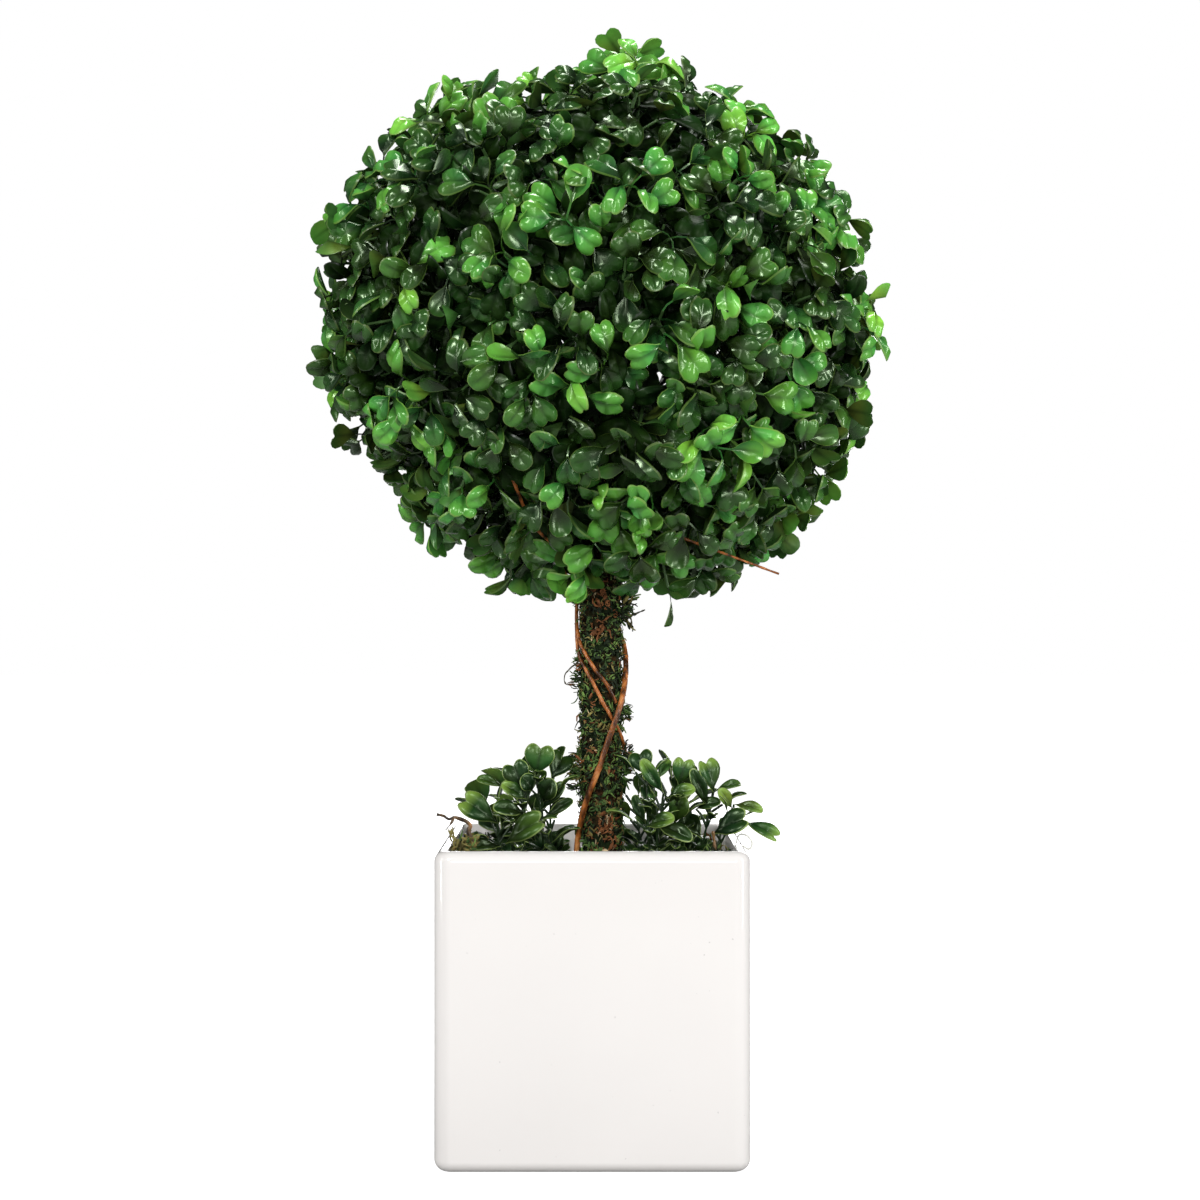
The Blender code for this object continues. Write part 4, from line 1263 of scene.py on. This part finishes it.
# Middles of the brighter parts as the photograph shows them: place across and height, from the ball's centre.
BRIGHT_SPOTS = (
    *((0.010, 0.105), (0.055, 0.056), (0.075, 0.040), (0.010, 0.048), (-0.020, 0.032), (-0.040, 0.045)),
    *((0.012, -0.020), (0.060, 0.006), (0.080, 0.005), (0.030, -0.075), (0.045, -0.068), (0.070, -0.045)),
    *((-0.080, -0.040), (-0.100, -0.030), (0.100, 0.045), (-0.075, 0.055), (-0.030, -0.068), (0.026, -0.090)),
)
BRIGHT_SPOT_RADIUS = 0.012
# Leaves that hang out of the ball by themselves: where the stem starts, the stalk's foot and the tip, in
# millimetres, and the upper side.
HANGING_SIZES = (0.42, 1.0, 0.42)
HANGING_LEAVES = ((((27, -22, 238), (30, -20, 223.5), (33.6, -19, 206)), (1, -0.25, 0)),)
# Roughness and specular level of the upper sides of the deep leaves and of the others.
DEEP_GLOSS = (0.42, 0.13)
LEAF_GLOSS = (0.24, 0.72)
# The bars of the open frame inside: width and thickness, and the room round the stem.
BAR_WIDTH = 0.0022
BAR_THICKNESS = 0.0016
COLLAR = 0.004


def spray_mixture(direction, rng):
    """Mixture of tones in a spray: bright in the spots, else by shares that drift round the ball, brighter as
    painted light round the outline.
    """
    place = direction * BALL_RADIUS
    near = min(math.hypot(place.x - x, place.z - z) for x, z in BRIGHT_SPOTS)
    if direction.y < 0 and near < BRIGHT_SPOT_RADIUS:
        return SPRAY_MIXTURES[pick(rng, (0.0, 0.2, 0.55, 0.25))]
    drift = noise.noise(direction * 2.6 + Vector((3.1, 0.4, 1.9)))
    # Painted light: the sprays round the outline seen from the front are brighter, as if lit through from
    # behind.
    edge = 0.24 if abs(direction.y) < 0.35 else 0.0
    return SPRAY_MIXTURES[pick(rng, (0.52 - 0.3 * drift - edge, 0.34, 0.11 + edge + 0.2 * drift, 0.03))]


class BOXWOOD_OT_ball_frame(bpy.types.Operator):
    """Makes the open frame of thin bars inside the ball that the sprays stand on"""

    bl_idname = "boxwood.ball_frame"
    bl_label = "Ball frame"

    def execute(self, context):
        look = context.scene.boxwood_ball
        bm = bmesh.new()
        bmesh.ops.create_icosphere(bm, subdivisions=3, radius=look.frame_radius)
        bmesh.ops.translate(bm, vec=BALL_CENTRE, verts=bm.verts)
        bars = set(bmesh.ops.inset_individual(bm, faces=bm.faces[:], thickness=BAR_WIDTH)["faces"])
        bmesh.ops.delete(bm, geom=[face for face in bm.faces if face not in bars], context="FACES_ONLY")
        collar = [face for face in bm.faces if near_stem(face.calc_center_median(), COLLAR)]
        bmesh.ops.delete(bm, geom=collar, context="FACES")
        bmesh.ops.solidify(bm, geom=bm.faces[:], thickness=BAR_THICKNESS)
        finish = stalk_finish("frame plastic", shade(look.stem, 0.35))
        settle(object_from(bm, "ball_frame", 30), "boxwood", [finish], "foliage_ball")
        return {"FINISHED"}


class BOXWOOD_OT_foliage(bpy.types.Operator):
    """Grows the ball's sprays: stems, side shoots and puffy leaves with pale rims"""

    bl_idname = "boxwood.foliage"
    bl_label = "Foliage ball"

    def execute(self, context):
        look = context.scene.boxwood_ball
        self.look = look
        self.rng = random.Random(8)
        self.growth = Growth(look.spacing)
        for direction, reach in STRAY_SPRAYS:
            self.grow_spray(Vector(direction).normalized(), reach)
        for points, upper in HANGING_LEAVES:
            start, foot, tip = (Vector(point) * MM for point in points)
            self.growth.add_stick([start, foot], SHOOT_RADIUS)
            matrix = laid_matrix(foot, tip - foot, Vector(upper), HANGING_SIZES)
            self.growth.add_leaf("dark", 3, matrix, foot.lerp(tip, 0.7))
        for direction in even_directions(look.sprays, self.rng):
            self.grow_spray(direction, reach_towards(direction) * self.rng.uniform(*SPRAY_REACH))
        self.make_pieces()
        return {"FINISHED"}

    def put_leaf(self, node, axis, turn, angle, reach, tone):
        """Adds a leaf where its tip stays within the reach, off the stem and off the other leaves."""
        rng, look = self.rng, self.look
        whole = look.stalk + look.leaf_length
        for _ in range(LEAF_TRIES):
            side = side_ways(axis, turn + rng.uniform(-0.5, 0.5))
            open_by = math.radians(angle + rng.uniform(-LEAF_STRAY, LEAF_STRAY))
            way = (axis * math.cos(open_by) + side * math.sin(open_by) + LEAF_DROOP).normalized()
            upper = (axis + jitter(rng, LEAF_TURN)).normalized()
            size = rng.uniform(*LEAF_SIZES)
            middle = node + way * (look.stalk + 0.5 * look.leaf_length) * size
            tip = node + way * whole * size
            if (tip - BALL_CENTRE).length > reach or near_stem(middle, STEM_CLEARANCE):
                continue
            if beyond_box(tip) or self.growth.crowded(middle):
                continue
            depth = reach - (middle - BALL_CENTRE).length
            if depth > DEEPEST:
                return
            # Painted shade: the deeper a leaf lies inside the outline, the darker its tone.
            chosen = max(0, tone - (depth > SHADED_DEPTH)) if depth < DEEP_DEPTH else 0
            style = pick(rng, [row[0] for row in BALL_STYLES])
            matrix = laid_matrix(node, way, upper, (size, size, size))
            self.growth.add_leaf(BALL_TONES[chosen], style, matrix, middle)
            return

    def put_node(self, node, axis, leaves, angle, reach, mixture, turn):
        """A pair or rosette of leaves at a node, all of one tone from the spray's mixture."""
        tone = pick(self.rng, mixture)
        for index in range(leaves):
            self.put_leaf(node, axis, turn + math.tau * index / leaves, angle, reach, tone)

    def grow_spray(self, direction, reach):
        """One spray: a stem from the frame to the outline with crossed pairs, shoots and an end rosette."""
        rng, look = self.rng, self.look
        axis = (direction + jitter(rng, SPRAY_STRAY)).normalized()
        tip = BALL_CENTRE + direction * (reach - (look.stalk + look.leaf_length) * TIP_SHARE)
        root = tip - axis * SPRAY_LENGTH
        if near_stem(tip, STEM_CLEARANCE) or near_stem(root, STEM_CLEARANCE):
            return
        points = [root, root.lerp(tip, 0.5) + jitter(rng, SPRAY_BEND), tip]
        outwards = root - BALL_CENTRE
        if outwards.length > look.frame_radius:
            points.insert(0, BALL_CENTRE + outwards.normalized() * look.frame_radius)
        self.growth.add_stick(points, SPRAY_RADIUS)
        mixture = spray_mixture(direction, rng)
        turn = rng.uniform(0, math.tau)
        for below, leaves, angle in SPRAY_NODES:
            self.put_node(tip - axis * below, axis, leaves, angle, reach, mixture, turn)
            turn += math.radians(90)
        for below, shoots, length in SIDE_SHOOTS:
            for index in range(shoots):
                side = side_ways(axis, turn + math.tau * index / shoots + rng.uniform(-0.4, 0.4))
                way = (axis * 0.75 + side * 0.7).normalized()
                start = tip - axis * below
                end = start + way * length * rng.uniform(0.8, 1.2)
                if near_stem(end, STEM_CLEARANCE) or (end - BALL_CENTRE).length > reach - SHOOT_DEPTH:
                    continue
                self.growth.add_stick([start, end], SHOOT_RADIUS)
                for low, leaves, angle in SHOOT_NODES:
                    around = rng.uniform(0, math.tau)
                    self.put_node(end - way * low, way, leaves, angle, reach, mixture, around)
            turn += math.radians(70)

    def make_pieces(self):
        look = self.look
        shapes = [
            leaf_shape(look.leaf_length, look.leaf_width * width, look.stalk, style, BALL_RINGS)
            for _, width, *style in BALL_STYLES
        ]
        for tone in BALL_TONES:
            colour = getattr(look, tone)
            # The deep tone is painted shade: its tip, and by RIM_PALENESS its rim, stay as dark as the leaf.
            tip = getattr(look, "lime" if tone in ("bright", "lime") else "bright")
            tip = mix_colours(colour, tip, 0.0 if tone == "deep" else 0.25)
            rim = plain_finish("rim " + tone, mix_colours(colour, look.margin, RIM_PALENESS[tone]), 0.35)
            gloss = DEEP_GLOSS if tone == "deep" else LEAF_GLOSS
            under = leaf_finish("underside " + tone, mix_colours(colour, look.margin, 0.3), tip, 0.45, 0.4)
            finishes = [leaf_finish("leaf " + tone, colour, tip, *gloss), rim, under]
            batches = [
                (shapes[style], matrices, 0)
                for (kind, style), matrices in sorted(self.growth.leaves.items())
                if kind == tone
            ]
            count = sum(len(matrices) for _, matrices, _ in batches)
            parts = math.ceil(count / LEAVES_A_PIECE)
            for part in range(parts):
                dealt = [(shape, matrices[part::parts], slot) for shape, matrices, slot in batches]
                name = f"ball_leaves_{tone}_{part + 1}"
                settle(stamped(name, dealt, 75), "boxwood", finishes, "foliage_ball")
        stems = stamped("ball_stems", [(stick_shape(5), self.growth.sticks, 0)], 60)
        settle(stems, "boxwood", [stalk_finish("leaf stems", look.stem)], "foliage_ball")


def mix_colours(first, second, share):
    return tuple(a + (b - a) * share for a, b in zip(first, second))


# Sprigs at the foot of the stem

# Stems in millimetres: name, points from the moss upwards.
SPRIG_STEMS = {
    "left_outer": ((-37.0, 0, 105), (-38.0, -6, 117), (-38.0, -12, 129)),
    "left_middle": ((-30.0, 2, 105), (-29.0, -6, 120), (-27.3, -12, 141)),
    "left_inner": ((-18.5, 6, 105), (-20.0, -3, 122), (-22.4, -11, 148)),
    "left_last": ((-15.5, 4, 105), (-17.0, -2, 125), (-16.8, -8, 146)),
    "right_inner": ((24.0, -4, 105), (22.5, -9, 126), (21.4, -12, 148)),
    "right_second": ((27.0, -2, 105), (26.0, -8, 124), (29.5, -13, 141)),
    "right_middle": ((34.0, 2, 105), (33.0, -5, 122), (34.6, -10, 144)),
    "right_outer": ((41.5, 4, 105), (45.0, -4, 122), (48.5, -10, 141)),
    "right_last": ((44.0, 2, 105), (52.0, -6, 121), (57.5, -10, 134)),
    "back_left": ((-24.0, 38, 105), (-27.0, 42, 120), (-31.0, 46, 134)),
    "back_left_low": ((-30.0, 36, 105), (-37.0, 38, 117), (-43.0, 41, 128)),
    "back_right": ((30.0, 38, 105), (33.0, 42, 120), (36.0, 46, 134)),
    "back_right_low": ((24.0, 40, 105), (20.0, 42, 118), (18.0, 45, 130)),
}
# Leaves in millimetres as the photograph shows them: stem, foot and tip as (across, height), depth of
# foot and tip, width, how far the upper side turns to +X, shape and tone.
SPRIG_LEAVES = (
    ("left_outer", (-38.0, 128.9), (-51.6, 139.6), -12, -16, 11.0, -0.5, "heart", "tipped"),
    ("left_middle", (-35.7, 143.5), (-46.5, 148.0), -12, -10, 4.6, -0.3, "spoon", "middle"),
    ("left_middle", (-27.2, 142.0), (-32.2, 153.4), -12, -15, 11.0, -0.3, "heart", "dark"),
    ("left_inner", (-22.5, 147.8), (-20.6, 160.4), -11, -15, 12.2, 0.1, "heart", "middle"),
    ("left_last", (-16.8, 146.0), (-11.0, 157.0), -8, -4, 10.4, 0.5, "heart", "dark"),
    ("left_middle", (-26.5, 138.6), (-35.0, 145.6), -12, -17, 7.0, -0.2, "spoon", "tipped"),
    ("left_middle", (-27.0, 132.8), (-38.2, 137.0), -10, -17, 8.0, -0.2, "spoon", "dark"),
    ("left_outer", (-35.0, 120.6), (-21.2, 132.2), -12, -22, 11.0, 0.2, "heart", "middle"),
    ("left_last", (-19.6, 130.2), (-8.8, 138.6), -6, -8, 5.2, 0.4, "spoon", "dark"),
    ("left_last", (-20.6, 134.0), (-12.0, 145.0), -7, -9, 5.6, 0.5, "spoon", "dark"),
    ("left_inner", (-20.0, 137.0), (-17.0, 146.0), -8, -15, 9.0, 0.1, "spoon", "dark"),
    ("left_inner", (-24.0, 142.0), (-27.0, 148.0), -12, -17, 8.0, -0.1, "spoon", "dark"),
    ("left_outer", (-36.6, 119.5), (-48.6, 121.6), -10, -20, 6.5, -0.2, "spoon", "dark"),
    ("left_outer", (-37.0, 126.0), (-32.0, 135.0), -8, 2, 8.0, 0.2, "spoon", "dark"),
    ("left_outer", (-37.6, 124.0), (-45.0, 131.0), -4, 8, 8.0, -0.4, "heart", "dark"),
    ("right_inner", (21.4, 148.0), (18.4, 158.0), -12, -11, 10.2, -0.4, "heart", "dark"),
    ("right_second", (28.4, 141.0), (20.0, 154.2), -13, -18, 6.2, -0.5, "spoon", "tipped"),
    ("right_second", (26.0, 146.5), (31.0, 155.2), -12, -8, 4.6, 0.3, "spoon", "lime"),
    ("right_middle", (34.5, 143.6), (37.2, 154.8), -10, -13, 9.4, 0.3, "heart", "tipped"),
    ("right_outer", (48.5, 141.0), (46.0, 154.6), -10, -12, 10.0, 0.4, "heart", "tipped"),
    ("right_outer", (46.3, 135.8), (40.6, 150.0), -9, -16, 6.2, -0.2, "spoon", "dark"),
    ("right_outer", (49.0, 142.0), (60.2, 145.8), -10, -6, 4.2, 0.3, "spoon", "middle"),
    ("right_middle", (29.6, 139.0), (39.6, 144.2), -12, -18, 7.0, 0.1, "spoon", "tipped"),
    ("right_last", (56.0, 134.8), (51.6, 142.6), -10, -15, 5.6, -0.2, "spoon", "lime"),
    ("right_last", (56.7, 136.4), (67.9, 135.4), -10, -14, 5.4, 0.1, "spoon", "lime"),
    ("right_last", (48.2, 124.6), (60.4, 132.8), -12, -20, 11.0, 0.3, "heart", "dark"),
    ("right_last", (60.4, 129.6), (74.4, 124.6), -12, -16, 7.4, 0.3, "heart", "tipped"),
    ("right_inner", (21.8, 127.4), (31.4, 132.4), -10, -16, 7.4, 0.2, "spoon", "tipped"),
    ("right_second", (25.6, 128.0), (38.6, 125.4), -12, -22, 8.0, 0.1, "spoon", "dark"),
    ("right_outer", (41.6, 134.4), (50.4, 138.6), -8, -12, 5.6, 0.1, "spoon", "dark"),
    ("right_inner", (21.4, 128.4), (16.4, 139.8), -9, -10, 4.8, -0.5, "spoon", "dark"),
    ("right_second", (25.0, 137.0), (23.4, 142.4), -8, -4, 4.6, 0.0, "spoon", "lime"),
    ("right_middle", (33.4, 128.8), (35.4, 139.4), -8, -14, 8.6, 0.1, "spoon", "middle"),
    ("right_middle", (34.0, 124.0), (42.0, 133.0), -4, 4, 8.0, 0.3, "heart", "dark"),
    ("right_outer", (44.0, 122.0), (38.0, 131.0), -4, 2, 8.0, -0.2, "heart", "dark"),
)
SPRIG_TONES = ("dark", "middle", "tipped", "lime")
# Leaves that grow by rule: stem, first share of its length, pairs, length and width in millimetres.
SPRIG_PAIRS = (
    ("back_left", 0.30, 6, 15, 10),
    ("back_left_low", 0.35, 5, 14, 10),
    ("back_right", 0.30, 6, 15, 10),
    ("back_right_low", 0.35, 5, 14, 10),
    ("left_last", 0.25, 5, 11, 4.6),
    ("left_inner", 0.20, 5, 11, 4.6),
    ("left_middle", 0.15, 4, 10, 4.4),
    ("left_outer", 0.15, 4, 10, 4.4),
    ("right_inner", 0.20, 5, 11, 4.6),
    ("right_second", 0.20, 4, 10, 4.6),
    ("right_middle", 0.15, 4, 10, 4.4),
    ("right_outer", 0.15, 4, 10, 4.4),
    ("right_last", 0.15, 3, 9, 4.4),
)
# Leaves narrower than this many millimetres are spoon-shaped and mostly dark.
NARROW_LEAF = 6
BROAD_SHARES = (0.45, 0.30, 0.20, 0.05)
NARROW_SHARES = (0.75, 0.20, 0.05)
PAIR_STALKS = (0.004, 0.008)
# A placed leaf's stalk leaves its stem this much lower down, and arches by this much.
STALK_DROP = Vector((0, 0, 0.006))
STALK_ARCH = Vector((0, 0, 0.0012))
# Low leaves: number round each foot, how far they spread there, stalks, lengths and widths.
LOW_LEAVES_EACH = 18
LOW_SPREAD = (0.005, 0.005, 0.0)
LOW_STALKS = (0.004, 0.009)
LOW_LENGTHS = (0.008, 0.014)
LOW_WIDTHS = (0.0030, 0.0052)
LOW_STICK_RADIUS = 0.00045
# Leaves inside the pot stop this far from the middle of it.
LEAF_BOUND = POT_WIDTH / 2 - 0.008


class BOXWOOD_OT_sprigs(bpy.types.Operator):
    """Grows the sprigs of larger leaves at the stem's foot and the low narrow leaves between them"""

    bl_idname = "boxwood.sprigs"
    bl_label = "Sprigs"

    def execute(self, context):
        look = context.scene.boxwood_sprig
        self.rng = random.Random(31)
        self.growth = Growth()
        self.stems = {name: line_through(points, 9) for name, points in SPRIG_STEMS.items()}
        for points in self.stems.values():
            self.growth.add_stick(points, look.stem_radius * 1.25)
        for row in SPRIG_LEAVES:
            self.placed_leaf(row)
        for row in SPRIG_PAIRS:
            self.grow_pairs(row)
        self.low_leaves()
        self.make_pieces(look)
        return {"FINISHED"}

    def add_leaf(self, shape, tone, foot, tip, upper, width):
        """One blade from its foot to its tip, of a width of its own."""
        length = (tip - foot).length
        matrix = laid_matrix(foot, tip - foot, upper, (width, length, length))
        self.growth.add_leaf(tone, shape, matrix)

    def stalk_to_stem(self, stem, foot):
        """Joins a blade's foot to its stem by a stalk that leaves the stem a little lower down."""
        wanted = foot - STALK_DROP
        start = min(self.stems[stem], key=lambda point: (point - wanted).length)
        bend = start.lerp(foot, 0.55) + STALK_ARCH
        self.growth.add_stick([start, bend, foot], SHOOT_RADIUS)

    def placed_leaf(self, row):
        stem, (foot_x, foot_z), (tip_x, tip_z), foot_y, tip_y, width, turned, shape, tone = row
        foot = Vector((foot_x, foot_y, foot_z)) * MM
        tip = Vector((tip_x, tip_y, tip_z)) * MM
        self.add_leaf(shape, tone, foot, tip, Vector((turned, -1.0, 0.75)), width * MM)
        self.stalk_to_stem(stem, foot)

    def grow_pairs(self, row):
        """Crossed pairs up a stem and one pair at its tip, by the rule of the frame's sprigs."""
        stem, first, pairs, length, width = row
        rng, points = self.rng, self.stems[stem]
        broad = width > NARROW_LEAF
        axis = (points[-1] - points[0]).normalized()
        turn = rng.uniform(0, math.tau)
        for index in range(pairs):
            share = first + (1.0 - first) * index / (pairs - broad)
            node = points[round(share * (len(points) - 1))]
            for half in (0, 1):
                side = side_ways(axis, turn + math.pi * half)
                open_by = math.radians(66 - 34 * share + rng.uniform(-8, 8))
                way = axis * math.cos(open_by) + side * math.sin(open_by)
                foot = node + way * rng.uniform(*PAIR_STALKS)
                tip = foot + way * length * MM * rng.uniform(0.85, 1.1)
                if near_stem(tip, 0.002) or tip.z < MOSS_LOW + 0.008:
                    continue
                if tip.z < POT_HEIGHT + 0.003 and max(abs(tip.x), abs(tip.y)) > LEAF_BOUND:
                    continue
                upper = axis + side * -0.4 + Vector((0, 0, 0.4))
                shape = "heart" if rng.random() < 0.6 and broad else "spoon"
                tone = SPRIG_TONES[pick(rng, BROAD_SHARES if broad else NARROW_SHARES)]
                self.add_leaf(shape, tone, foot, tip, upper, width * MM * rng.uniform(0.8, 1.1))
                self.growth.add_stick([node, foot], SHOOT_RADIUS)
            turn += math.radians(90)

    def low_leaves(self):
        """Small narrow dark leaves that stand low round every sprig's foot."""
        rng = self.rng
        for foot, *_ in self.stems.values():
            for _ in range(LOW_LEAVES_EACH):
                start = foot + scattered(rng, LOW_SPREAD)
                start.z = MOSS_LOW + 0.001
                lean = scattered(rng, (0.9, 0.9, 0.0)) + Vector((0, 0, rng.uniform(0.7, 1.3)))
                bend = start + lean.normalized() * rng.uniform(*LOW_STALKS)
                way = (lean.normalized() + jitter(rng, 0.5) - Vector((0, 0, 0.25))).normalized()
                tip = bend + way * rng.uniform(*LOW_LENGTHS)
                outside = max(abs(tip.x), abs(tip.y)) > LEAF_BOUND
                if outside or near_stem(tip, 0.001) or tip.z < MOSS_LOW + 0.004:
                    continue
                self.growth.add_stick([start, bend], LOW_STICK_RADIUS)
                upper = Vector((0, -0.5, 1)) + jitter(rng, 0.3)
                self.add_leaf("narrow", "dark", bend, tip, upper, rng.uniform(*LOW_WIDTHS))

    def make_pieces(self, look):
        styles = {name: leaf_shape(1.0, 1.0, 0.0, style, SPRIG_RINGS) for name, style in SPRIG_STYLES.items()}
        styles["narrow"] = leaf_shape(1.0, 1.0, 0.0, SPRIG_STYLES["spoon"], BALL_RINGS)
        colours = {
            "dark": (look.dark, mix_colours(look.dark, look.middle, 0.5)),
            "middle": (look.middle, mix_colours(look.middle, look.lime, 0.25)),
            "tipped": (look.middle, look.lime),
            "lime": (mix_colours(look.middle, look.lime, 0.3), look.lime),
        }
        finishes, batches = [], []
        for index, tone in enumerate(SPRIG_TONES):
            body, tip = colours[tone]
            under = mix_colours(body, tip, 0.3)
            finishes.append(leaf_finish("sprig " + tone, body, tip, 0.30, 0.45, 0.68))
            finishes.append(plain_finish("sprig rim " + tone, mix_colours(look.margin, body, 0.25), 0.4))
            finishes.append(leaf_finish("sprig underside " + tone, under, tip, 0.5, 0.35))
            for shape, template in styles.items():
                batches.append((template, self.growth.leaves.get((tone, shape), []), index * 3))
        settle(stamped("sprig_leaves", batches, 75), "sprig_green", finishes, *SPRIG_NODES)
        stems = stamped("sprig_stems", [(stick_shape(6), self.growth.sticks, 0)], 60)
        settle(stems, "sprig_green", [stalk_finish("sprig stems", look.dark)], *SPRIG_NODES)


# Stage

# Soft panels that face the middle of the plant: name, place, width and height, and power in watts.
PANELS = (
    ("key panel", (-0.60, -1.35, 1.05), (0.40, 0.30), 16.0),
    ("side panel", (1.3, -0.55, 0.45), (0.14, 1.1), 13.0),
    ("left panel", (-1.35, -0.45, 0.35), (0.14, 1.1), 7.6),
    ("front panel", (0.65, -1.5, 0.45), (0.28, 0.36), 6.4),
    ("fill panel", (0.02, -1.3, 0.34), (0.50, 0.16), 1.9),
    ("top panel", (0.1, 0.1, 1.5), (0.45, 0.45), 13.0),
    ("back panel", (0.2, 1.6, 0.5), (1.0, 0.7), 17.0),
)
PANEL_AIM = Vector((0, 0, 0.22))
# Strength of the white light from all round.
AMBIENT = 0.06
FLOOR_HALF = 6.0
FLOOR_GAP = 0.0002


class BOXWOOD_OT_stage(bpy.types.Operator):
    """Sets the pale floor, the soft studio lights and the camera"""

    bl_idname = "boxwood.stage"
    bl_label = "Stage"

    def execute(self, context):
        look = context.scene.boxwood_stage
        bm = bmesh.new()
        bmesh.ops.create_grid(bm, x_segments=8, y_segments=8, size=FLOOR_HALF)
        bmesh.ops.translate(bm, vec=(0, 0, -FLOOR_GAP), verts=bm.verts)
        floor = object_from(bm, "floor")
        floor.data.materials.append(self.floor_paint(look.floor))
        self.sky(context)
        for name, place, size, power in PANELS:
            self.panel(name, Vector(place), size, power)
        self.camera(context, look)
        return {"FINISHED"}

    @staticmethod
    def floor_paint(colour):
        """Grey paint for the light that the floor throws back, and white for the camera."""
        paint = Finish("floor paint", 0.8, 0.1)
        tones = ((0.0, shade(colour, 0.99)), (1.0, shade(colour, 1.01)))
        paint.colour(paint.ramp(paint.speckle(3.0), tones))
        paint.shader.inputs["Emission Color"].default_value = (1, 1, 1, 1)
        seen = paint.nodes.new("ShaderNodeLightPath").outputs["Is Camera Ray"]
        paint.links.new(seen, paint.shader.inputs["Emission Strength"])
        return paint.material

    @staticmethod
    def sky(context):
        """White for the camera, and a softer white for everything else."""
        world = bpy.data.worlds.new("studio white")
        context.scene.world = world
        world.use_nodes = True
        nodes, links = world.node_tree.nodes, world.node_tree.links
        seen = nodes.new("ShaderNodeBackground")
        seen.inputs["Strength"].default_value = 1.0
        seen.inputs["Color"].default_value = (1, 1, 1, 1)
        ambient = nodes["Background"]
        ambient.inputs["Color"].default_value = (1.0, 1.0, 0.97, 1)
        ambient.inputs["Strength"].default_value = AMBIENT
        path = nodes.new("ShaderNodeLightPath")
        choose = nodes.new("ShaderNodeMixShader")
        links.new(path.outputs["Is Camera Ray"], choose.inputs["Fac"])
        links.new(ambient.outputs["Background"], choose.inputs[1])
        links.new(seen.outputs["Background"], choose.inputs[2])
        links.new(choose.outputs["Shader"], nodes["World Output"].inputs["Surface"])

    @staticmethod
    def panel(name, place, size, power):
        """A soft rectangular light that faces the plant."""
        light = bpy.data.lights.new(name, "AREA")
        light.shape = "RECTANGLE"
        light.size, light.size_y = size
        light.energy = power
        made = bpy.data.objects.new(name, light)
        made.visible_camera = False
        made.location = place
        made.rotation_euler = (place - PANEL_AIM).to_track_quat("Z", "Y").to_euler()
        bpy.context.scene.collection.objects.link(made)

    @staticmethod
    def camera(context, look):
        """A level camera before the plant, as in the photograph."""
        lens = bpy.data.cameras.new("camera")
        lens.lens = look.lens
        made = bpy.data.objects.new("camera", lens)
        made.location = (look.side, -look.distance, look.height)
        made.rotation_euler = (math.radians(90), 0, 0)
        context.scene.collection.objects.link(made)
        context.scene.camera = made
        context.scene.view_settings.view_transform = "Standard"


OPERATORS = (
    BOXWOOD_OT_pot,
    BOXWOOD_OT_filling,
    BOXWOOD_OT_moss_bed,
    BOXWOOD_OT_stem,
    BOXWOOD_OT_vines,
    BOXWOOD_OT_ball_frame,
    BOXWOOD_OT_foliage,
    BOXWOOD_OT_sprigs,
    BOXWOOD_OT_stage,
)


class BOXWOOD_PT_panel(bpy.types.Panel):
    """Lists the pieces of the potted boxwood ball and their settings"""

    bl_idname = "BOXWOOD_PT_panel"
    bl_label = "Potted boxwood ball"
    bl_space_type = "VIEW_3D"
    bl_region_type = "UI"
    bl_category = "Boxwood"

    def draw(self, context):
        for operator in OPERATORS:
            self.layout.operator(operator.bl_idname)
        for name, group in SETTINGS.items():
            box = self.layout.box()
            box.label(text=name.removeprefix("boxwood_").capitalize())
            for setting in group.__annotations__:
                box.prop(getattr(context.scene, name), setting)


def register():
    for name, group in SETTINGS.items():
        bpy.utils.register_class(group)
        setattr(bpy.types.Scene, name, PointerProperty(type=group))
    for operator in OPERATORS:
        bpy.utils.register_class(operator)
    bpy.utils.register_class(BOXWOOD_PT_panel)


def unregister():
    bpy.utils.unregister_class(BOXWOOD_PT_panel)
    for operator in reversed(OPERATORS):
        bpy.utils.unregister_class(operator)
    for name, group in reversed(SETTINGS.items()):
        delattr(bpy.types.Scene, name)
        bpy.utils.unregister_class(group)


def main():
    register()
    for operator in OPERATORS:
        make = getattr(bpy.ops.boxwood, operator.bl_idname.split(".")[1])
        make()


if __name__ == "__main__":
    main()
